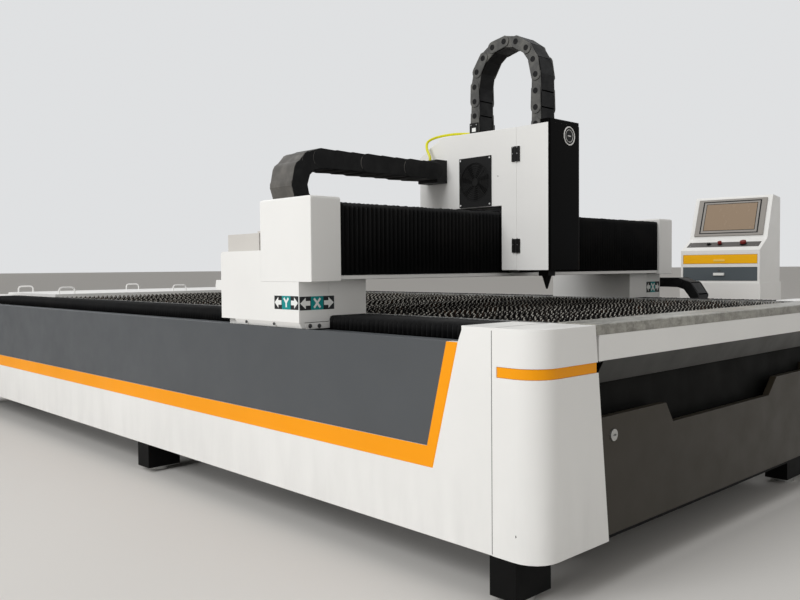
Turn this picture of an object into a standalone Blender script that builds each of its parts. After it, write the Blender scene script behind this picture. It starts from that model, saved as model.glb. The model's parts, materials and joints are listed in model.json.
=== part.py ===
"""Open-bed fiber laser cutting machine with a travelling gantry, a cutting head and a control console.

Metres, +Z up. Across the bed is X, along it is Y. Every piece is measured from the bed's front left
corner on the floor; the machine_frame empty then puts the world origin at the bottom centre.
"""
import math

import bmesh
import bpy
from mathutils import Matrix, Vector

# Bed
BED_W = 2.665
BED_L = 5.40
SKIRT_Z = 0.145
PANEL_TOP = 0.772
COVER_TOP = 0.822
DECK_TOP = 0.836
GAP = 0.0005
SHEET = 0.028

# Machine width with the console
CONSOLE_FRONT = (3.55, 1.165)
CONSOLE_YAW = math.radians(8.0)
CONSOLE_W = 0.52
CONSOLE_D = 0.52
PLINTH_STEP = 0.006
FAR_CORNER = CONSOLE_D * math.cos(CONSOLE_YAW) + (CONSOLE_W / 2 + PLINTH_STEP) * math.sin(CONSOLE_YAW)
TOTAL_W = CONSOLE_FRONT[0] + FAR_CORNER

# Side: orange stripe with a slanted leg at each end
STRIPE_LOW = 0.367
STRIPE_HIGH = 0.434
LEG_OUTER_TOP = 0.307
LEG_OUTER_LOW = 0.417
LEG_INNER_TOP = 0.353
LEG_INNER_LOW = 0.440
CORNER_D = 0.170
SHELF_END = 0.315
CORNER_R = 0.09
COVER_WALL = 0.022
SHELF_LOW = 0.797
CORNER_TOP_X = 0.283
CORNER_LOW_X = 0.358
LIGHT_LOW = 0.677
LIGHT_HIGH = 0.709

# Front door
DOOR_LEFT = 0.361
DOOR_RIGHT = 1.980
DOOR_LOW = 0.160
DOOR_HIGH = 0.535
RECESS_LOW = 0.446
LOCK_INSET = 0.030
LOCK_Z = 0.473

# Rails and bellows beside the sheet space
RAIL_TOP = 0.735
LEDGE_TOP = 0.640
FLANGE_LOW = 0.757
FLANGE_TOP = 0.764
BELLOWS_LOW = 0.766
BELLOWS_HIGH = 0.820
BELLOWS_IN = 0.145
BELLOWS_OUT = 0.330
SLAT_LEFT = 0.345
SLAT_FRONT = 0.160
SLAT_REAR = 4.400
SLAT_TIP = 0.820
SLAT_COUNT = 27
TEETH = 16
TOOTH_H = 0.040

# Gantry
FOOT_FRONT = 1.112
FOOT_REAR = 1.645
FOOT_X = 0.336
COVER_X = 0.145
BEAM_FRONT = 1.044
BEAM_LOW = 0.957

# Head
HEAD_LEFT = 1.091
HEAD_RIGHT = 1.323
HEAD_FRONT = 0.762
HEAD_SEAM = 0.943
HEAD_BACK = 1.030
HEAD_LOW = 0.985
HEAD_TOP = 1.627
LID_TOP = 1.645
HINGE_LEAVES = (("low", 1.064, 1.126), ("high", 1.473, 1.540))
HEAD_AXIS = (1.207, 0.862)
PINION_R = 0.030
SCREW_Y = 0.995

FINISHES = {
    "white_paint": ((0.84, 0.84, 0.83), 0.32, 0.0),
    "grey_paint": ((0.085, 0.092, 0.098), 0.45, 0.0),
    "orange_paint": ((1.0, 0.37, 0.0), 0.35, 0.0),
    "amber_lens": ((0.60, 0.24, 0.01), 0.30, 0.0),
    "door_paint": ((0.050, 0.044, 0.040), 0.40, 0.0),
    "frame_paint": ((0.012, 0.012, 0.012), 0.60, 0.0),
    "galvanised": ((0.42, 0.42, 0.40), 0.38, 1.0),
    "steel": ((0.46, 0.46, 0.46), 0.30, 1.0),
    "slat_steel": ((0.20, 0.18, 0.16), 0.45, 1.0),
    "bellows_cloth": ((0.012, 0.012, 0.014), 0.55, 0.0),
    "chain_plastic": ((0.030, 0.030, 0.032), 0.50, 0.0),
    "black_gloss": ((0.010, 0.010, 0.012), 0.12, 0.0),
    "yellow_paint": ((0.83, 0.41, 0.003), 0.35, 0.0),
    "blue_grey_paint": ((0.07, 0.085, 0.10), 0.40, 0.0),
    "screen_glass": ((0.35, 0.28, 0.21), 0.15, 0.0),
    "red_plastic": ((0.60, 0.02, 0.02), 0.35, 0.0),
    "green_plastic": ((0.02, 0.30, 0.06), 0.35, 0.0),
    "cable_yellow": ((0.75, 0.72, 0.01), 0.40, 0.0),
}

# Mesh axes for an outline drawn in two of them and extruded along the third
AXES = {
    "x": Matrix(((0, 0, 1, 0), (1, 0, 0, 0), (0, 1, 0, 0), (0, 0, 0, 1))),
    "y": Matrix(((1, 0, 0, 0), (0, 0, -1, 0), (0, 1, 0, 0), (0, 0, 0, 1))),
    "z": Matrix.Identity(4),
}
ALONG = {"x": Vector((1, 0, 0)), "y": Vector((0, 1, 0)), "z": Vector((0, 0, 1))}


def clear_scene():
    for item in list(bpy.data.objects):
        bpy.data.objects.remove(item, do_unlink=True)


def new_collection(name):
    collection = bpy.data.collections.new(name)
    bpy.context.scene.collection.children.link(collection)
    return collection


def new_frame(name, location, yaw=0.0, parent=None):
    empty = bpy.data.objects.new(name, None)
    PARTS.objects.link(empty)
    empty.parent = parent
    empty.location = location
    empty.rotation_euler = (0.0, 0.0, yaw)
    return empty


def dress(obj, finish):
    colour, roughness, metallic = FINISHES[finish]
    material = bpy.data.materials.new(f"{obj.name}_{finish}")
    material.use_nodes = True
    shader = material.node_tree.nodes["Principled BSDF"]
    shader.inputs["Base Color"].default_value = (*colour, 1.0)
    shader.inputs["Roughness"].default_value = roughness
    shader.inputs["Metallic"].default_value = metallic
    obj.data.materials.append(material)


def place(name, finish, mesh, origin, parent):
    """Put a mesh in the scene; one without a finish is a tool for cutting or joining."""
    obj = bpy.data.objects.new(name, mesh)
    obj.parent = parent or FRAME
    obj.location = origin
    if finish is None:
        TOOLS.objects.link(obj)
        obj.hide_render = True
        obj.display_type = "WIRE"
    else:
        PARTS.objects.link(obj)
        dress(obj, finish)
    return obj


def round_shade(mesh):
    mesh.shade_smooth()
    mesh.set_sharp_from_angle(angle=math.radians(35))


def bevel(obj, width, segments=2):
    edge = obj.modifiers.new("rounded_edges", "BEVEL")
    edge.width = width
    edge.segments = segments
    edge.limit_method = "ANGLE"
    edge.angle_limit = math.radians(50)
    return obj


def boolean(obj, tool, operation):
    step = obj.modifiers.new(tool.name, "BOOLEAN")
    step.operation = operation
    step.solver = "EXACT"
    step.object = tool
    return obj


def cut(obj, *tools):
    for tool in tools:
        boolean(obj, tool, "DIFFERENCE")
    return obj


def join(obj, *tools):
    for tool in tools:
        boolean(obj, tool, "UNION")
    return obj


def box(name, finish, low, high, origin=None, parent=None):
    low, high = Vector(low), Vector(high)
    middle = (low + high) / 2
    origin = middle if origin is None else Vector(origin)
    body = bmesh.new()
    bmesh.ops.create_cube(body, size=1.0)
    bmesh.ops.scale(body, vec=high - low, verts=body.verts)
    bmesh.ops.translate(body, vec=middle - origin, verts=body.verts)
    mesh = bpy.data.meshes.new(name)
    body.to_mesh(mesh)
    body.free()
    return place(name, finish, mesh, origin, parent)


def rod(name, finish, radius, axis, centre, length, sides=24, tip=None, origin=None, parent=None):
    """A cylinder along an axis, or a cone when the far end has a radius of its own."""
    body = bmesh.new()
    far = radius if tip is None else tip
    bmesh.ops.create_cone(
        body, cap_ends=True, segments=sides, radius1=radius, radius2=far, depth=length
    )
    turn = ALONG["z"].rotation_difference(ALONG[axis]).to_matrix()
    bmesh.ops.rotate(body, cent=(0, 0, 0), matrix=turn, verts=body.verts)
    origin = Vector(centre) if origin is None else Vector(origin)
    bmesh.ops.translate(body, vec=Vector(centre) - origin, verts=body.verts)
    mesh = bpy.data.meshes.new(name)
    body.to_mesh(mesh)
    body.free()
    round_shade(mesh)
    return place(name, finish, mesh, origin, parent)


def curve_mesh(curve):
    """The mesh of a curve, with the loose edges of its caps welded."""
    guide = bpy.data.objects.new("guide", curve)
    TOOLS.objects.link(guide)
    mesh = bpy.data.meshes.new_from_object(
        guide.evaluated_get(bpy.context.evaluated_depsgraph_get())
    )
    bpy.data.objects.remove(guide)
    body = bmesh.new()
    body.from_mesh(mesh)
    bmesh.ops.remove_doubles(body, verts=body.verts, dist=0.00005)
    bmesh.ops.recalc_face_normals(body, faces=body.faces)
    body.to_mesh(mesh)
    body.free()
    return mesh


def prism(name, finish, outline, axis, low, high, origin=None, parent=None):
    """A flat outline in the two other axes, extruded from low to high along this one."""
    curve = bpy.data.curves.new(name, "CURVE")
    curve.dimensions = "2D"
    curve.fill_mode = "BOTH"
    curve.extrude = (high - low) / 2
    spline = curve.splines.new("POLY")
    spline.points.add(len(outline) - 1)
    for point, (u, v) in zip(spline.points, outline):
        point.co = (u, v, 0.0, 1.0)
    spline.use_cyclic_u = True
    mesh = curve_mesh(curve)
    origin = Vector((0, 0, 0)) if origin is None else Vector(origin)
    mesh.transform(AXES[axis])
    mesh.transform(Matrix.Translation(ALONG[axis] * (low + high) / 2 - origin))
    return place(name, finish, mesh, origin, parent)


def rounded(corners, steps=3):
    """An outline whose corners are (u, v), or (u, v, radius) for an arc."""
    outline = []
    for index, corner in enumerate(corners):
        here = Vector(corner[:2])
        if len(corner) == 2:
            outline.append(tuple(here))
            continue
        before = (Vector(corners[index - 1][:2]) - here).normalized()
        after = (Vector(corners[(index + 1) % len(corners)][:2]) - here).normalized()
        half = before.angle(after) / 2
        reach = corner[2] / math.tan(half)
        centre = here + (before + after).normalized() * corner[2] / math.sin(half)
        first = here + before * reach - centre
        last = here + after * reach - centre
        sweep = first.angle_signed(last)
        for step in range(steps + 1):
            arm = Matrix.Rotation(-sweep * step / steps, 2) @ first
            outline.append(tuple(centre + arm))
    return outline


def across(x, side):
    """Mirror an x over the bed's centre line for the right side."""
    return x if side == "left" else BED_W - x


def span(first, last, side):
    """The two x limits of a piece on that side, in rising order."""
    return sorted((across(first, side), across(last, side)))


def pleated_cover(name, hill, valley, axis, start, end, folds, parent=None):
    """A bellows: its section runs through the hill points at a crest and the valley points at a root."""
    body = bmesh.new()
    previous = None
    for step in range(2 * folds + 1):
        section = valley if step % 2 else hill
        place_along = start + (end - start) * step / (2 * folds)
        line = []
        for u, v in section:
            corner = (place_along, u, v) if axis == "x" else (u, place_along, v)
            line.append(body.verts.new(corner))
        if previous:
            for k in range(len(line) - 1):
                body.faces.new((previous[k], line[k], line[k + 1], previous[k + 1]))
        previous = line
    bmesh.ops.recalc_face_normals(body, faces=body.faces)
    mesh = bpy.data.meshes.new(name)
    body.to_mesh(mesh)
    body.free()
    cover = place(name, "bellows_cloth", mesh, (0, 0, 0), parent)
    cloth = cover.modifiers.new("cloth_thickness", "SOLIDIFY")
    cloth.thickness = 0.002
    cloth.offset = 0.0
    return cover


def straight_path(start, end):
    """Points along a straight run, each with its outward normal."""
    start, end = Vector(start), Vector(end)
    run = end - start
    normal = Vector((-run.y, run.x)).normalized()
    return (lambda t: start + run * t), (lambda t: normal), run.length


def arc_path(centre, radius, first, last):
    """Points along an arc between two angles, each with its outward normal."""
    centre = Vector(centre)

    def arm(t):
        angle = first + (last - first) * t
        return Vector((math.cos(angle), math.sin(angle)))

    return (lambda t: centre + arm(t) * radius), arm, abs(last - first) * radius


def chain(name, path, thickness, pitch, axis, low, high, parent=None):
    """A run of chain links as a band whose two edges are notched at each pin."""
    point, normal, length = path
    links = max(1, round(length / pitch))
    notch = 0.006 / length
    depth = 0.010
    upper, lower = [], []
    for link in range(links + 1):
        t = link / links
        if 0 < link < links:
            places = ((t - notch, 0.0), (t, depth), (t + notch, 0.0))
        else:
            places = ((t, 0.0),)
        for at, inset in places:
            reach = thickness / 2 - inset
            upper.append(tuple(point(at) + normal(at) * reach))
            lower.append(tuple(point(at) - normal(at) * reach))
    outline = upper + lower[::-1]
    return prism(name, "chain_plastic", outline, axis, low, high, parent=parent)


def base_frames():
    """Three floor frames under the bed: a cross member on feet."""
    rows = (
        ("base_frame_front", 0.090, 0.190, (0.010, 1.965, 2.485)),
        ("base_frame_middle", 2.380, 2.496, (0.010, 2.485)),
        ("base_frame_rear", 5.200, 5.310, (0.010, 2.485)),
    )
    for name, front, back, feet in rows:
        frame = box(name, "frame_paint", (0.0305, front, 0.100), (BED_W - 0.0305, back, 0.1995))
        for number, left in enumerate(feet, start=1):
            foot = box(f"{name}_leg_{number}", None, (left, front, 0.020), (left + 0.170, back, 0.140))
            pad_place = (left + 0.085, (front + back) / 2, 0.015)
            pad = rod(f"{name}_pad_{number}", None, 0.045, "z", pad_place, 0.030, sides=16)
            join(frame, foot, pad)


def side_beam(side):
    """A welded box beam that carries the guide rail and the toothed rack."""
    left, right = span(0.030, 0.320, side)
    end = 0.078
    beam = box(f"side_beam_{side}", "frame_paint", (left, end, 0.200), (right, BED_L - end, 0.700))
    rail_l, rail_r = span(0.150, 0.185, side)
    neck_l, neck_r = span(0.156, 0.179, side)
    rack_l, rack_r = span(0.200, 0.230, side)
    front, back = 0.200, BED_L - 0.230
    rail = box(f"rail_{side}", None, (rail_l, front, 0.718), (rail_r, back, RAIL_TOP))
    neck = box(f"rail_neck_{side}", None, (neck_l, front, 0.690), (neck_r, back, 0.725))
    rack = box(f"rack_{side}", None, (rack_l, front, 0.690), (rack_r, back, RAIL_TOP))
    ledge_l, ledge_r = span(0.310, 0.345, side)
    ledge = box(f"ledge_{side}", None, (ledge_l, 0.150, LEDGE_TOP - 0.020), (ledge_r, 5.330, LEDGE_TOP))
    join(beam, rail, neck, rack, ledge)


def side_sheets(side):
    """White skirt with the orange band raised on it, and the dark panel that it frames."""
    depth = SHEET if side == "left" else BED_W
    outer = 0.0 if side == "left" else BED_W - SHEET
    front, rear = CORNER_D + GAP, BED_L - CORNER_D - GAP
    top_inset = LEG_OUTER_TOP - front
    low_inset = LEG_OUTER_LOW - front
    lip = 0.021
    skirt = [
        (front, SKIRT_Z),
        (rear, SKIRT_Z),
        (rear, COVER_TOP),
        (rear - top_inset + lip, COVER_TOP),
        (rear - top_inset, PANEL_TOP),
        (BED_L - LEG_INNER_TOP, PANEL_TOP),
        (BED_L - LEG_INNER_LOW, STRIPE_HIGH),
        (LEG_INNER_LOW, STRIPE_HIGH),
        (LEG_INNER_TOP, PANEL_TOP),
        (front + top_inset, PANEL_TOP),
        (front + top_inset - lip, COVER_TOP),
        (front, COVER_TOP),
    ]
    sheet = prism(f"side_skirt_{side}", "white_paint", skirt, "x", outer, depth)
    groove = 0.002
    white_low = [
        (front - 0.1, SKIRT_Z - 0.1),
        (rear + 0.1, SKIRT_Z - 0.1),
        (rear + 0.1, STRIPE_LOW),
        (front - 0.1, STRIPE_LOW),
    ]
    face = (-0.01, groove) if side == "left" else (BED_W - groove, BED_W + 0.01)
    cut(sheet, prism(f"skirt_face_{side}", None, white_low, "x", *face))
    for end in ("front", "rear"):
        wedge = [
            (front - 0.1, STRIPE_LOW - 0.01),
            (LEG_OUTER_LOW + (LEG_OUTER_LOW - LEG_OUTER_TOP) * 0.0247, STRIPE_LOW - 0.01),
            (LEG_OUTER_TOP, PANEL_TOP),
            (LEG_OUTER_TOP - lip, COVER_TOP + 0.01),
            (front - 0.1, COVER_TOP + 0.01),
        ]
        if end == "rear":
            wedge = [(BED_L - y, z) for y, z in wedge]
        cut(sheet, prism(f"skirt_{end}_face_{side}", None, wedge, "x", *face))
    panel = [
        (LEG_INNER_LOW + GAP, STRIPE_HIGH + GAP),
        (BED_L - LEG_INNER_LOW - GAP, STRIPE_HIGH + GAP),
        (BED_L - LEG_INNER_TOP - GAP, PANEL_TOP),
        (LEG_INNER_TOP + GAP, PANEL_TOP),
    ]
    inset = 0.004
    low, high = span(inset, SHEET, side)
    sheet = prism(f"side_panel_{side}", "grey_paint", panel, "x", low, high)
    low, high = span(SHEET - 0.010, BELLOWS_IN - 0.003, side)
    ends = LEG_INNER_TOP + 0.010
    join(
        sheet,
        box(f"panel_flange_{side}", None, (low, ends, FLANGE_LOW), (high, BED_L - ends, FLANGE_TOP)),
    )


def front_corner(side):
    """A rounded corner cover with a groove for the amber strip round it."""
    turn = 1 if side == "left" else -1
    edge = across(0.0, side)

    def x(value):
        return edge + turn * value

    plan = [
        (x(0.0), CORNER_D),
        (x(0.0), 0.0, CORNER_R),
        (x(CORNER_LOW_X), 0.0),
        (x(CORNER_LOW_X), CORNER_D),
    ]
    plan = rounded(plan, steps=6)
    cover = prism(f"corner_cover_{side}", "white_paint", plan, "z", SKIRT_Z, COVER_TOP)
    inside = [
        (x(COVER_WALL), 0.2),
        (x(COVER_WALL), COVER_WALL, CORNER_R - COVER_WALL),
        (x(CORNER_LOW_X + 0.02), COVER_WALL),
        (x(CORNER_LOW_X + 0.02), 0.2),
    ]
    hollow = prism(
        f"corner_hollow_{side}", None, rounded(inside, steps=6), "z", SKIRT_Z - 0.02, SHELF_LOW
    )
    slant = [
        (x(CORNER_TOP_X), COVER_TOP + 0.002),
        (x(CORNER_LOW_X), SKIRT_Z),
        (x(CORNER_LOW_X + 0.1), SKIRT_Z - 0.01),
        (x(CORNER_LOW_X + 0.1), COVER_TOP + 0.1),
        (x(CORNER_TOP_X), COVER_TOP + 0.1),
    ]
    side_cut = prism(f"corner_slant_{side}", None, slant, "y", -0.05, 0.25)
    cut(cover, hollow, side_cut)
    shelf_l, shelf_r = sorted((x(SHEET + GAP), x(CORNER_TOP_X)))
    shelf = box(
        f"corner_shelf_{side}", None, (shelf_l, 0.100, SHELF_LOW), (shelf_r, SHELF_END, COVER_TOP - 0.001)
    )
    join(cover, shelf)
    groove = light_plan(x, 0.0085, -0.02)
    cut(cover, prism(f"light_groove_{side}", None, groove, "z", LIGHT_LOW, LIGHT_HIGH))
    strip = prism(
        f"corner_light_{side}",
        "amber_lens",
        light_plan(x, 0.008, 0.003),
        "z",
        LIGHT_LOW + GAP,
        LIGHT_HIGH - GAP,
    )
    cut(strip, prism(f"light_slant_{side}", None, slant_strip(x), "y", -0.05, 0.25))


def light_plan(x, inner, outer):
    """The strip's outline seen from above: outer face, round the corner, and back along its inner face."""
    reach = CORNER_D - 0.017
    end = CORNER_LOW_X + 0.03
    outside = rounded(
        [(x(outer), reach), (x(outer), outer, CORNER_R - outer), (x(end), outer), (x(end), inner)], 6
    )
    inside = rounded(
        [(x(inner), reach), (x(inner), inner, CORNER_R - inner), (x(end), inner), (x(end), 0.1)], 6
    )
    return outside[:-1] + inside[-2:0:-1] + [inside[0]]


def slant_strip(x):
    """The wedge beyond the strip's end, just inside the cover's slanted edge."""
    end = 0.293
    return [(x(end), 0.66), (x(end + 0.2), 0.66), (x(end + 0.2), 0.73), (x(end), 0.73)]


def front_sheets():
    """Galvanised edge strip, and the folded panel: white band, grey bevel, recess and right end."""
    left, right = CORNER_TOP_X + 0.004, BED_W - CORNER_TOP_X - 0.004
    strip = rounded([(0.0, 0.7915), (0.0, 0.825, 0.004), (0.142, 0.825), (0.142, 0.7915)], 2)
    prism("front_edge_strip", "galvanised", strip, "x", left, right)
    band = [(0.0, 0.711), (0.0, 0.791), (0.142, 0.791), (0.142, 0.701), (0.030, 0.701)]
    band_left, band_right = CORNER_TOP_X + 0.020, BED_W - CORNER_TOP_X - 0.020
    panel = prism("front_panel", "white_paint", band, "x", band_left, band_right)
    bevel_face = [
        (0.0, 0.7115),
        (0.142, 0.7115),
        (0.142, 0.670),
        (0.074, 0.620),
        (0.074, RECESS_LOW),
        (0.062, RECESS_LOW),
        (0.062, 0.635),
        (0.040, 0.635),
    ]
    slope_left, slope_right = CORNER_LOW_X - 0.030, BED_W - CORNER_LOW_X + 0.030
    slope = prism("front_slope", None, bevel_face, "x", slope_left, slope_right)
    right_end = box("front_right_end", None, (1.9815, 0.006, DOOR_LOW), (2.304, 0.032, DOOR_HIGH))
    hanger = box("front_hanger", None, (2.000, 0.020, 0.500), (2.290, 0.080, 0.560))
    join(panel, slope, hanger, right_end)


def front_door():
    """The access door, hinged along its lower edge, with a notch for the hand and two locks."""
    front, back = 0.006, 0.032
    outline = [
        (DOOR_LEFT, DOOR_LOW),
        (DOOR_RIGHT, DOOR_LOW),
        (DOOR_RIGHT, DOOR_HIGH),
        (1.629, DOOR_HIGH),
        (1.551, 0.465),
        (0.768, 0.465),
        (0.719, DOOR_HIGH),
        (DOOR_LEFT, DOOR_HIGH),
    ]
    hinge = (DOOR_LEFT, back, DOOR_LOW)
    door = prism("front_door", "door_paint", outline, "y", front, back, origin=hinge)
    frame = new_frame("front_door_hinge_line", hinge, parent=FRAME)
    for side, x in (("left", DOOR_LEFT + LOCK_INSET), ("right", DOOR_RIGHT - LOCK_INSET)):
        hole = rod(f"lock_hole_{side}", None, 0.0195, "y", (x, 0.02, LOCK_Z), 0.08, sides=20)
        cut(door, hole)
        local = Vector((x, 0.0, LOCK_Z)) - Vector(hinge)
        middle = local + Vector((0, 0.0195, 0))
        lock = rod(
            f"door_lock_{side}", "steel", 0.019, "y", middle, 0.035, sides=20, parent=frame
        )
        slot = box(
            f"lock_slot_{side}",
            None,
            middle + Vector((-0.011, -0.03, -0.003)),
            middle + Vector((0.011, -0.0125, 0.003)),
            parent=frame,
        )
        cut(lock, slot)


def rear_cover():
    """One folded cover round the rear end, up to the deck plates."""
    front = BED_L - CORNER_D
    plan = rounded(
        [
            (0.0, front),
            (BED_W, front),
            (BED_W, BED_L, CORNER_R),
            (0.0, BED_L, CORNER_R),
        ],
        5,
    )
    cover = prism("rear_cover", "white_paint", plan, "z", SKIRT_Z, COVER_TOP)
    back = BED_L - COVER_WALL
    inside = [
        (COVER_WALL, front - 0.02),
        (BED_W - COVER_WALL, front - 0.02),
        (BED_W - COVER_WALL, back, CORNER_R - COVER_WALL),
        (COVER_WALL, back, CORNER_R - COVER_WALL),
    ]
    hollow = prism("rear_hollow", None, rounded(inside, 5), "z", SKIRT_Z - 0.02, SHELF_LOW)
    deck_edge = 0.3395
    deck_room = box(
        "rear_deck_room", None, (deck_edge, front - 0.02, 0.750), (BED_W - deck_edge, back, 0.85)
    )
    cut(cover, hollow, deck_room)
    for side in ("left", "right"):
        left, right = span(SHEET + GAP, CORNER_TOP_X, side)
        low, high = (left, BED_L - SHELF_END, SHELF_LOW), (right, front + 0.05, COVER_TOP - 0.001)
        join(cover, box(f"rear_shelf_{side}", None, low, high))


def deck_plates():
    """Three white plates at the far end, each with two bent handles."""
    edges = (0.3445, 0.890, 1.775, BED_W - 0.3445)
    names = ("deck_plate_left", "deck_plate_middle", "deck_plate_right")
    for number, name in enumerate(names):
        left, right = edges[number] + GAP, edges[number + 1] - GAP
        plate = box(name, "white_paint", (left, 4.420, 0.7605), (right, BED_L - 0.0235, DECK_TOP))
        grip = (0.450, 1.330, 2.200)[number]
        for end, y in (("front", 4.480), ("rear", 5.300)):
            join(plate, handle(f"{name}_{end}_handle", grip, y))


def handle(name, x, y):
    """A round bar bent to a U that stands on a plate."""
    half, height, foot = 0.055, 0.045, 0.010
    curve = bpy.data.curves.new(name, "CURVE")
    curve.dimensions = "3D"
    curve.bevel_depth = 0.006
    curve.bevel_resolution = 1
    curve.use_fill_caps = True
    path = rounded([(-half, -foot), (-half, height, 0.02), (half, height, 0.02), (half, -foot)], 2)
    spline = curve.splines.new("POLY")
    spline.points.add(len(path) - 1)
    for point, (u, v) in zip(spline.points, path):
        point.co = (u, 0.0, v, 1.0)
    return place(name, None, curve_mesh(curve), (x, y, DECK_TOP), None)


def slat_bed():
    """Saw-tooth slats across the bed, welded to two long bars that lie on the side beams' ledges."""
    near, far = 0.3285, BED_W - 0.3285
    rear = 5.320
    frame = box("slat_bed", "slat_steel", (near, 0.150, LEDGE_TOP + GAP), (near + 0.012, rear, 0.760))
    other = box(
        "slat_bed_right_bar", None, (far - 0.012, 0.150, LEDGE_TOP + GAP), (far, rear, 0.760)
    )
    cross_bars = []
    for end, y in (("front", 4.440), ("rear", 5.270)):
        bar = box(f"deck_bar_{end}", None, (near + 0.002, y, 0.700), (far - 0.002, y + 0.030, 0.760))
        cross_bars.append(bar)
    right = BED_W - SLAT_LEFT
    pitch = (right - SLAT_LEFT) / TEETH
    hidden = near + 0.006
    outline = [
        (hidden, 0.660),
        (BED_W - hidden, 0.660),
        (BED_W - hidden, 0.750),
        (right, 0.750),
    ]
    for tooth in range(TEETH, 0, -1):
        outline.append((SLAT_LEFT + tooth * pitch, SLAT_TIP - TOOTH_H))
        outline.append((SLAT_LEFT + (tooth - 0.5) * pitch, SLAT_TIP))
    outline += [(SLAT_LEFT, SLAT_TIP - TOOTH_H), (SLAT_LEFT, 0.750), (hidden, 0.750)]
    slat = prism("slat_row", None, outline, "y", SLAT_FRONT, SLAT_FRONT + 0.004)
    row = slat.modifiers.new("slat_row", "ARRAY")
    row.count = SLAT_COUNT
    row.use_relative_offset = False
    row.use_constant_offset = True
    row.constant_offset_displace = (0.0, (SLAT_REAR - SLAT_FRONT - 0.004) / (SLAT_COUNT - 1), 0.0)
    join(frame, slat, other, *cross_bars)


def slag_tray():
    """The open tray under the slats, drawn out through the front door."""
    low, high = Vector((0.480, 0.160, 0.2005)), Vector((1.920, SLAT_REAR, 0.440))
    tray = box("slag_tray", "galvanised", low, high)
    wall = Vector((0.006, 0.006, 0.006))
    cut(tray, box("tray_room", None, low + wall, high + Vector((-0.006, -0.006, 0.05))))


def bed_bellows(side):
    """Pleated covers over the guide rail, before and behind the gantry's foot."""
    sign = 1 if side == "left" else -1
    edge = across(0.0, side)
    crest, root = 0.0, 0.014
    hill, valley = [], []
    for inset, section in ((crest, hill), (root, valley)):
        section.append((edge + sign * (BELLOWS_IN + 0.001 + inset * 0.6), BELLOWS_LOW))
        section.append((edge + sign * (BELLOWS_IN + 0.001 + inset * 0.6), BELLOWS_HIGH - 0.02 - inset))
        section.append((edge + sign * (BELLOWS_IN + 0.022), BELLOWS_HIGH - 0.002 - inset))
        section.append((edge + sign * (BELLOWS_OUT - 0.001), BELLOWS_HIGH - 0.002 - inset))
    reaches = (
        ("front", SHELF_END + GAP, FOOT_FRONT - 0.002, 10),
        ("rear", FOOT_REAR + 0.018, BED_L - SHELF_END - GAP, 36),
    )
    for end, start, stop, folds in reaches:
        pleated_cover(f"y_bellows_{side}_{end}", hill, valley, "y", start, stop, folds)


def gantry_beam():
    """Beam with its lower plate, X rails, rack and chain tray, and the cast foot at each end."""
    left, right = COVER_X + GAP, BED_W - COVER_X - GAP
    beam = box("gantry_beam", "steel", (left, 1.125, 0.970), (right, 1.340, 1.225))
    plate = box("beam_plate", None, (left, 1.050, BEAM_LOW), (right, 1.357, 0.973))
    tools = [plate]
    for name, low in (("lower", 1.035), ("upper", 1.185)):
        tools.append(box(f"beam_rail_{name}", None, (left, 1.105, low), (right, 1.130, low + 0.020)))
    tools.append(box("beam_rack", None, (left, 1.105, 1.120), (right, 1.130, 1.140)))
    tools.append(box("beam_chain_tray", None, (0.350, 1.330, 1.175), (2.450, 1.520, 1.1865)))
    for side in ("left", "right"):
        outline = [
            (0.030, 0.7695),
            (FOOT_X, 0.7695),
            (FOOT_X, 0.800),
            (FOOT_X - 0.006, 0.8065),
            (FOOT_X, 0.813),
            (FOOT_X, 0.9565),
            (0.220, 0.9620),
            (COVER_X + GAP, 0.9620),
            (COVER_X + GAP, 0.7935),
            (0.030, 0.7935),
        ]
        outline = [(across(x, side), z) for x, z in outline]
        tools.append(prism(f"beam_foot_{side}", None, outline, "y", FOOT_FRONT, FOOT_REAR))
    join(beam, *tools)


def foot_cover(side):
    """The white cover outside a gantry foot, with the drive motor's box on its top."""
    low, high = span(0.0, COVER_X - GAP, side)
    outline = [
        (FOOT_FRONT, 0.796),
        (1.661, 0.796),
        (1.661, 1.064),
        (1.651, 1.074),
        (1.3625, 1.074),
        (1.3625, 0.9505),
        (FOOT_FRONT, 0.9505),
    ]
    cover = prism(f"foot_cover_{side}", "white_paint", outline, "x", low, high)
    pieces = (
        ("sill", (0.001, 1.113, 0.7735), (0.0295, 1.557, 0.800)),
        ("motor_box", (0.025, 1.408, 1.070), (0.130, 1.640, 1.145)),
        ("rear_plate", (0.030, 1.650, 0.911), (0.100, 1.752, 0.954)),
    )
    for piece, lower, upper in pieces:
        left, right = span(lower[0], upper[0], side)
        join(cover, box(f"{piece}_{side}", None, (left, *lower[1:]), (right, *upper[1:])))
    knob_place = (across(0.045, side), 1.422, 1.146)
    join(cover, rod(f"motor_knob_{side}", None, 0.0145, "z", knob_place, 0.014, sides=16))
    if side == "right":
        join(cover, box("y_chain_arm", None, (2.660, 1.5005, 0.870), (2.830, 1.610, 0.930)))


def end_cover(side):
    low, high = span(0.0, COVER_X, side)
    cover = box(f"end_cover_{side}", "white_paint", (low, 1.034, 0.951), (high, 1.357, 1.272))
    bevel(cover, 0.016, 3)


def beam_bellows():
    """Pleated covers in front of and over the beam, on both sides of the carriage."""
    hill = [(BEAM_FRONT + 0.002, 0.975), (BEAM_FRONT + 0.002, 1.255), (1.335, 1.255)]
    valley = [(BEAM_FRONT + 0.022, 0.975), (BEAM_FRONT + 0.022, 1.234), (1.335, 1.234)]
    inner = COVER_X + 0.002
    pleated_cover("beam_bellows_left", hill, valley, "x", inner, 1.160, 20)
    pleated_cover("beam_bellows_right", hill, valley, "x", 1.254, BED_W - inner, 25)


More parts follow.
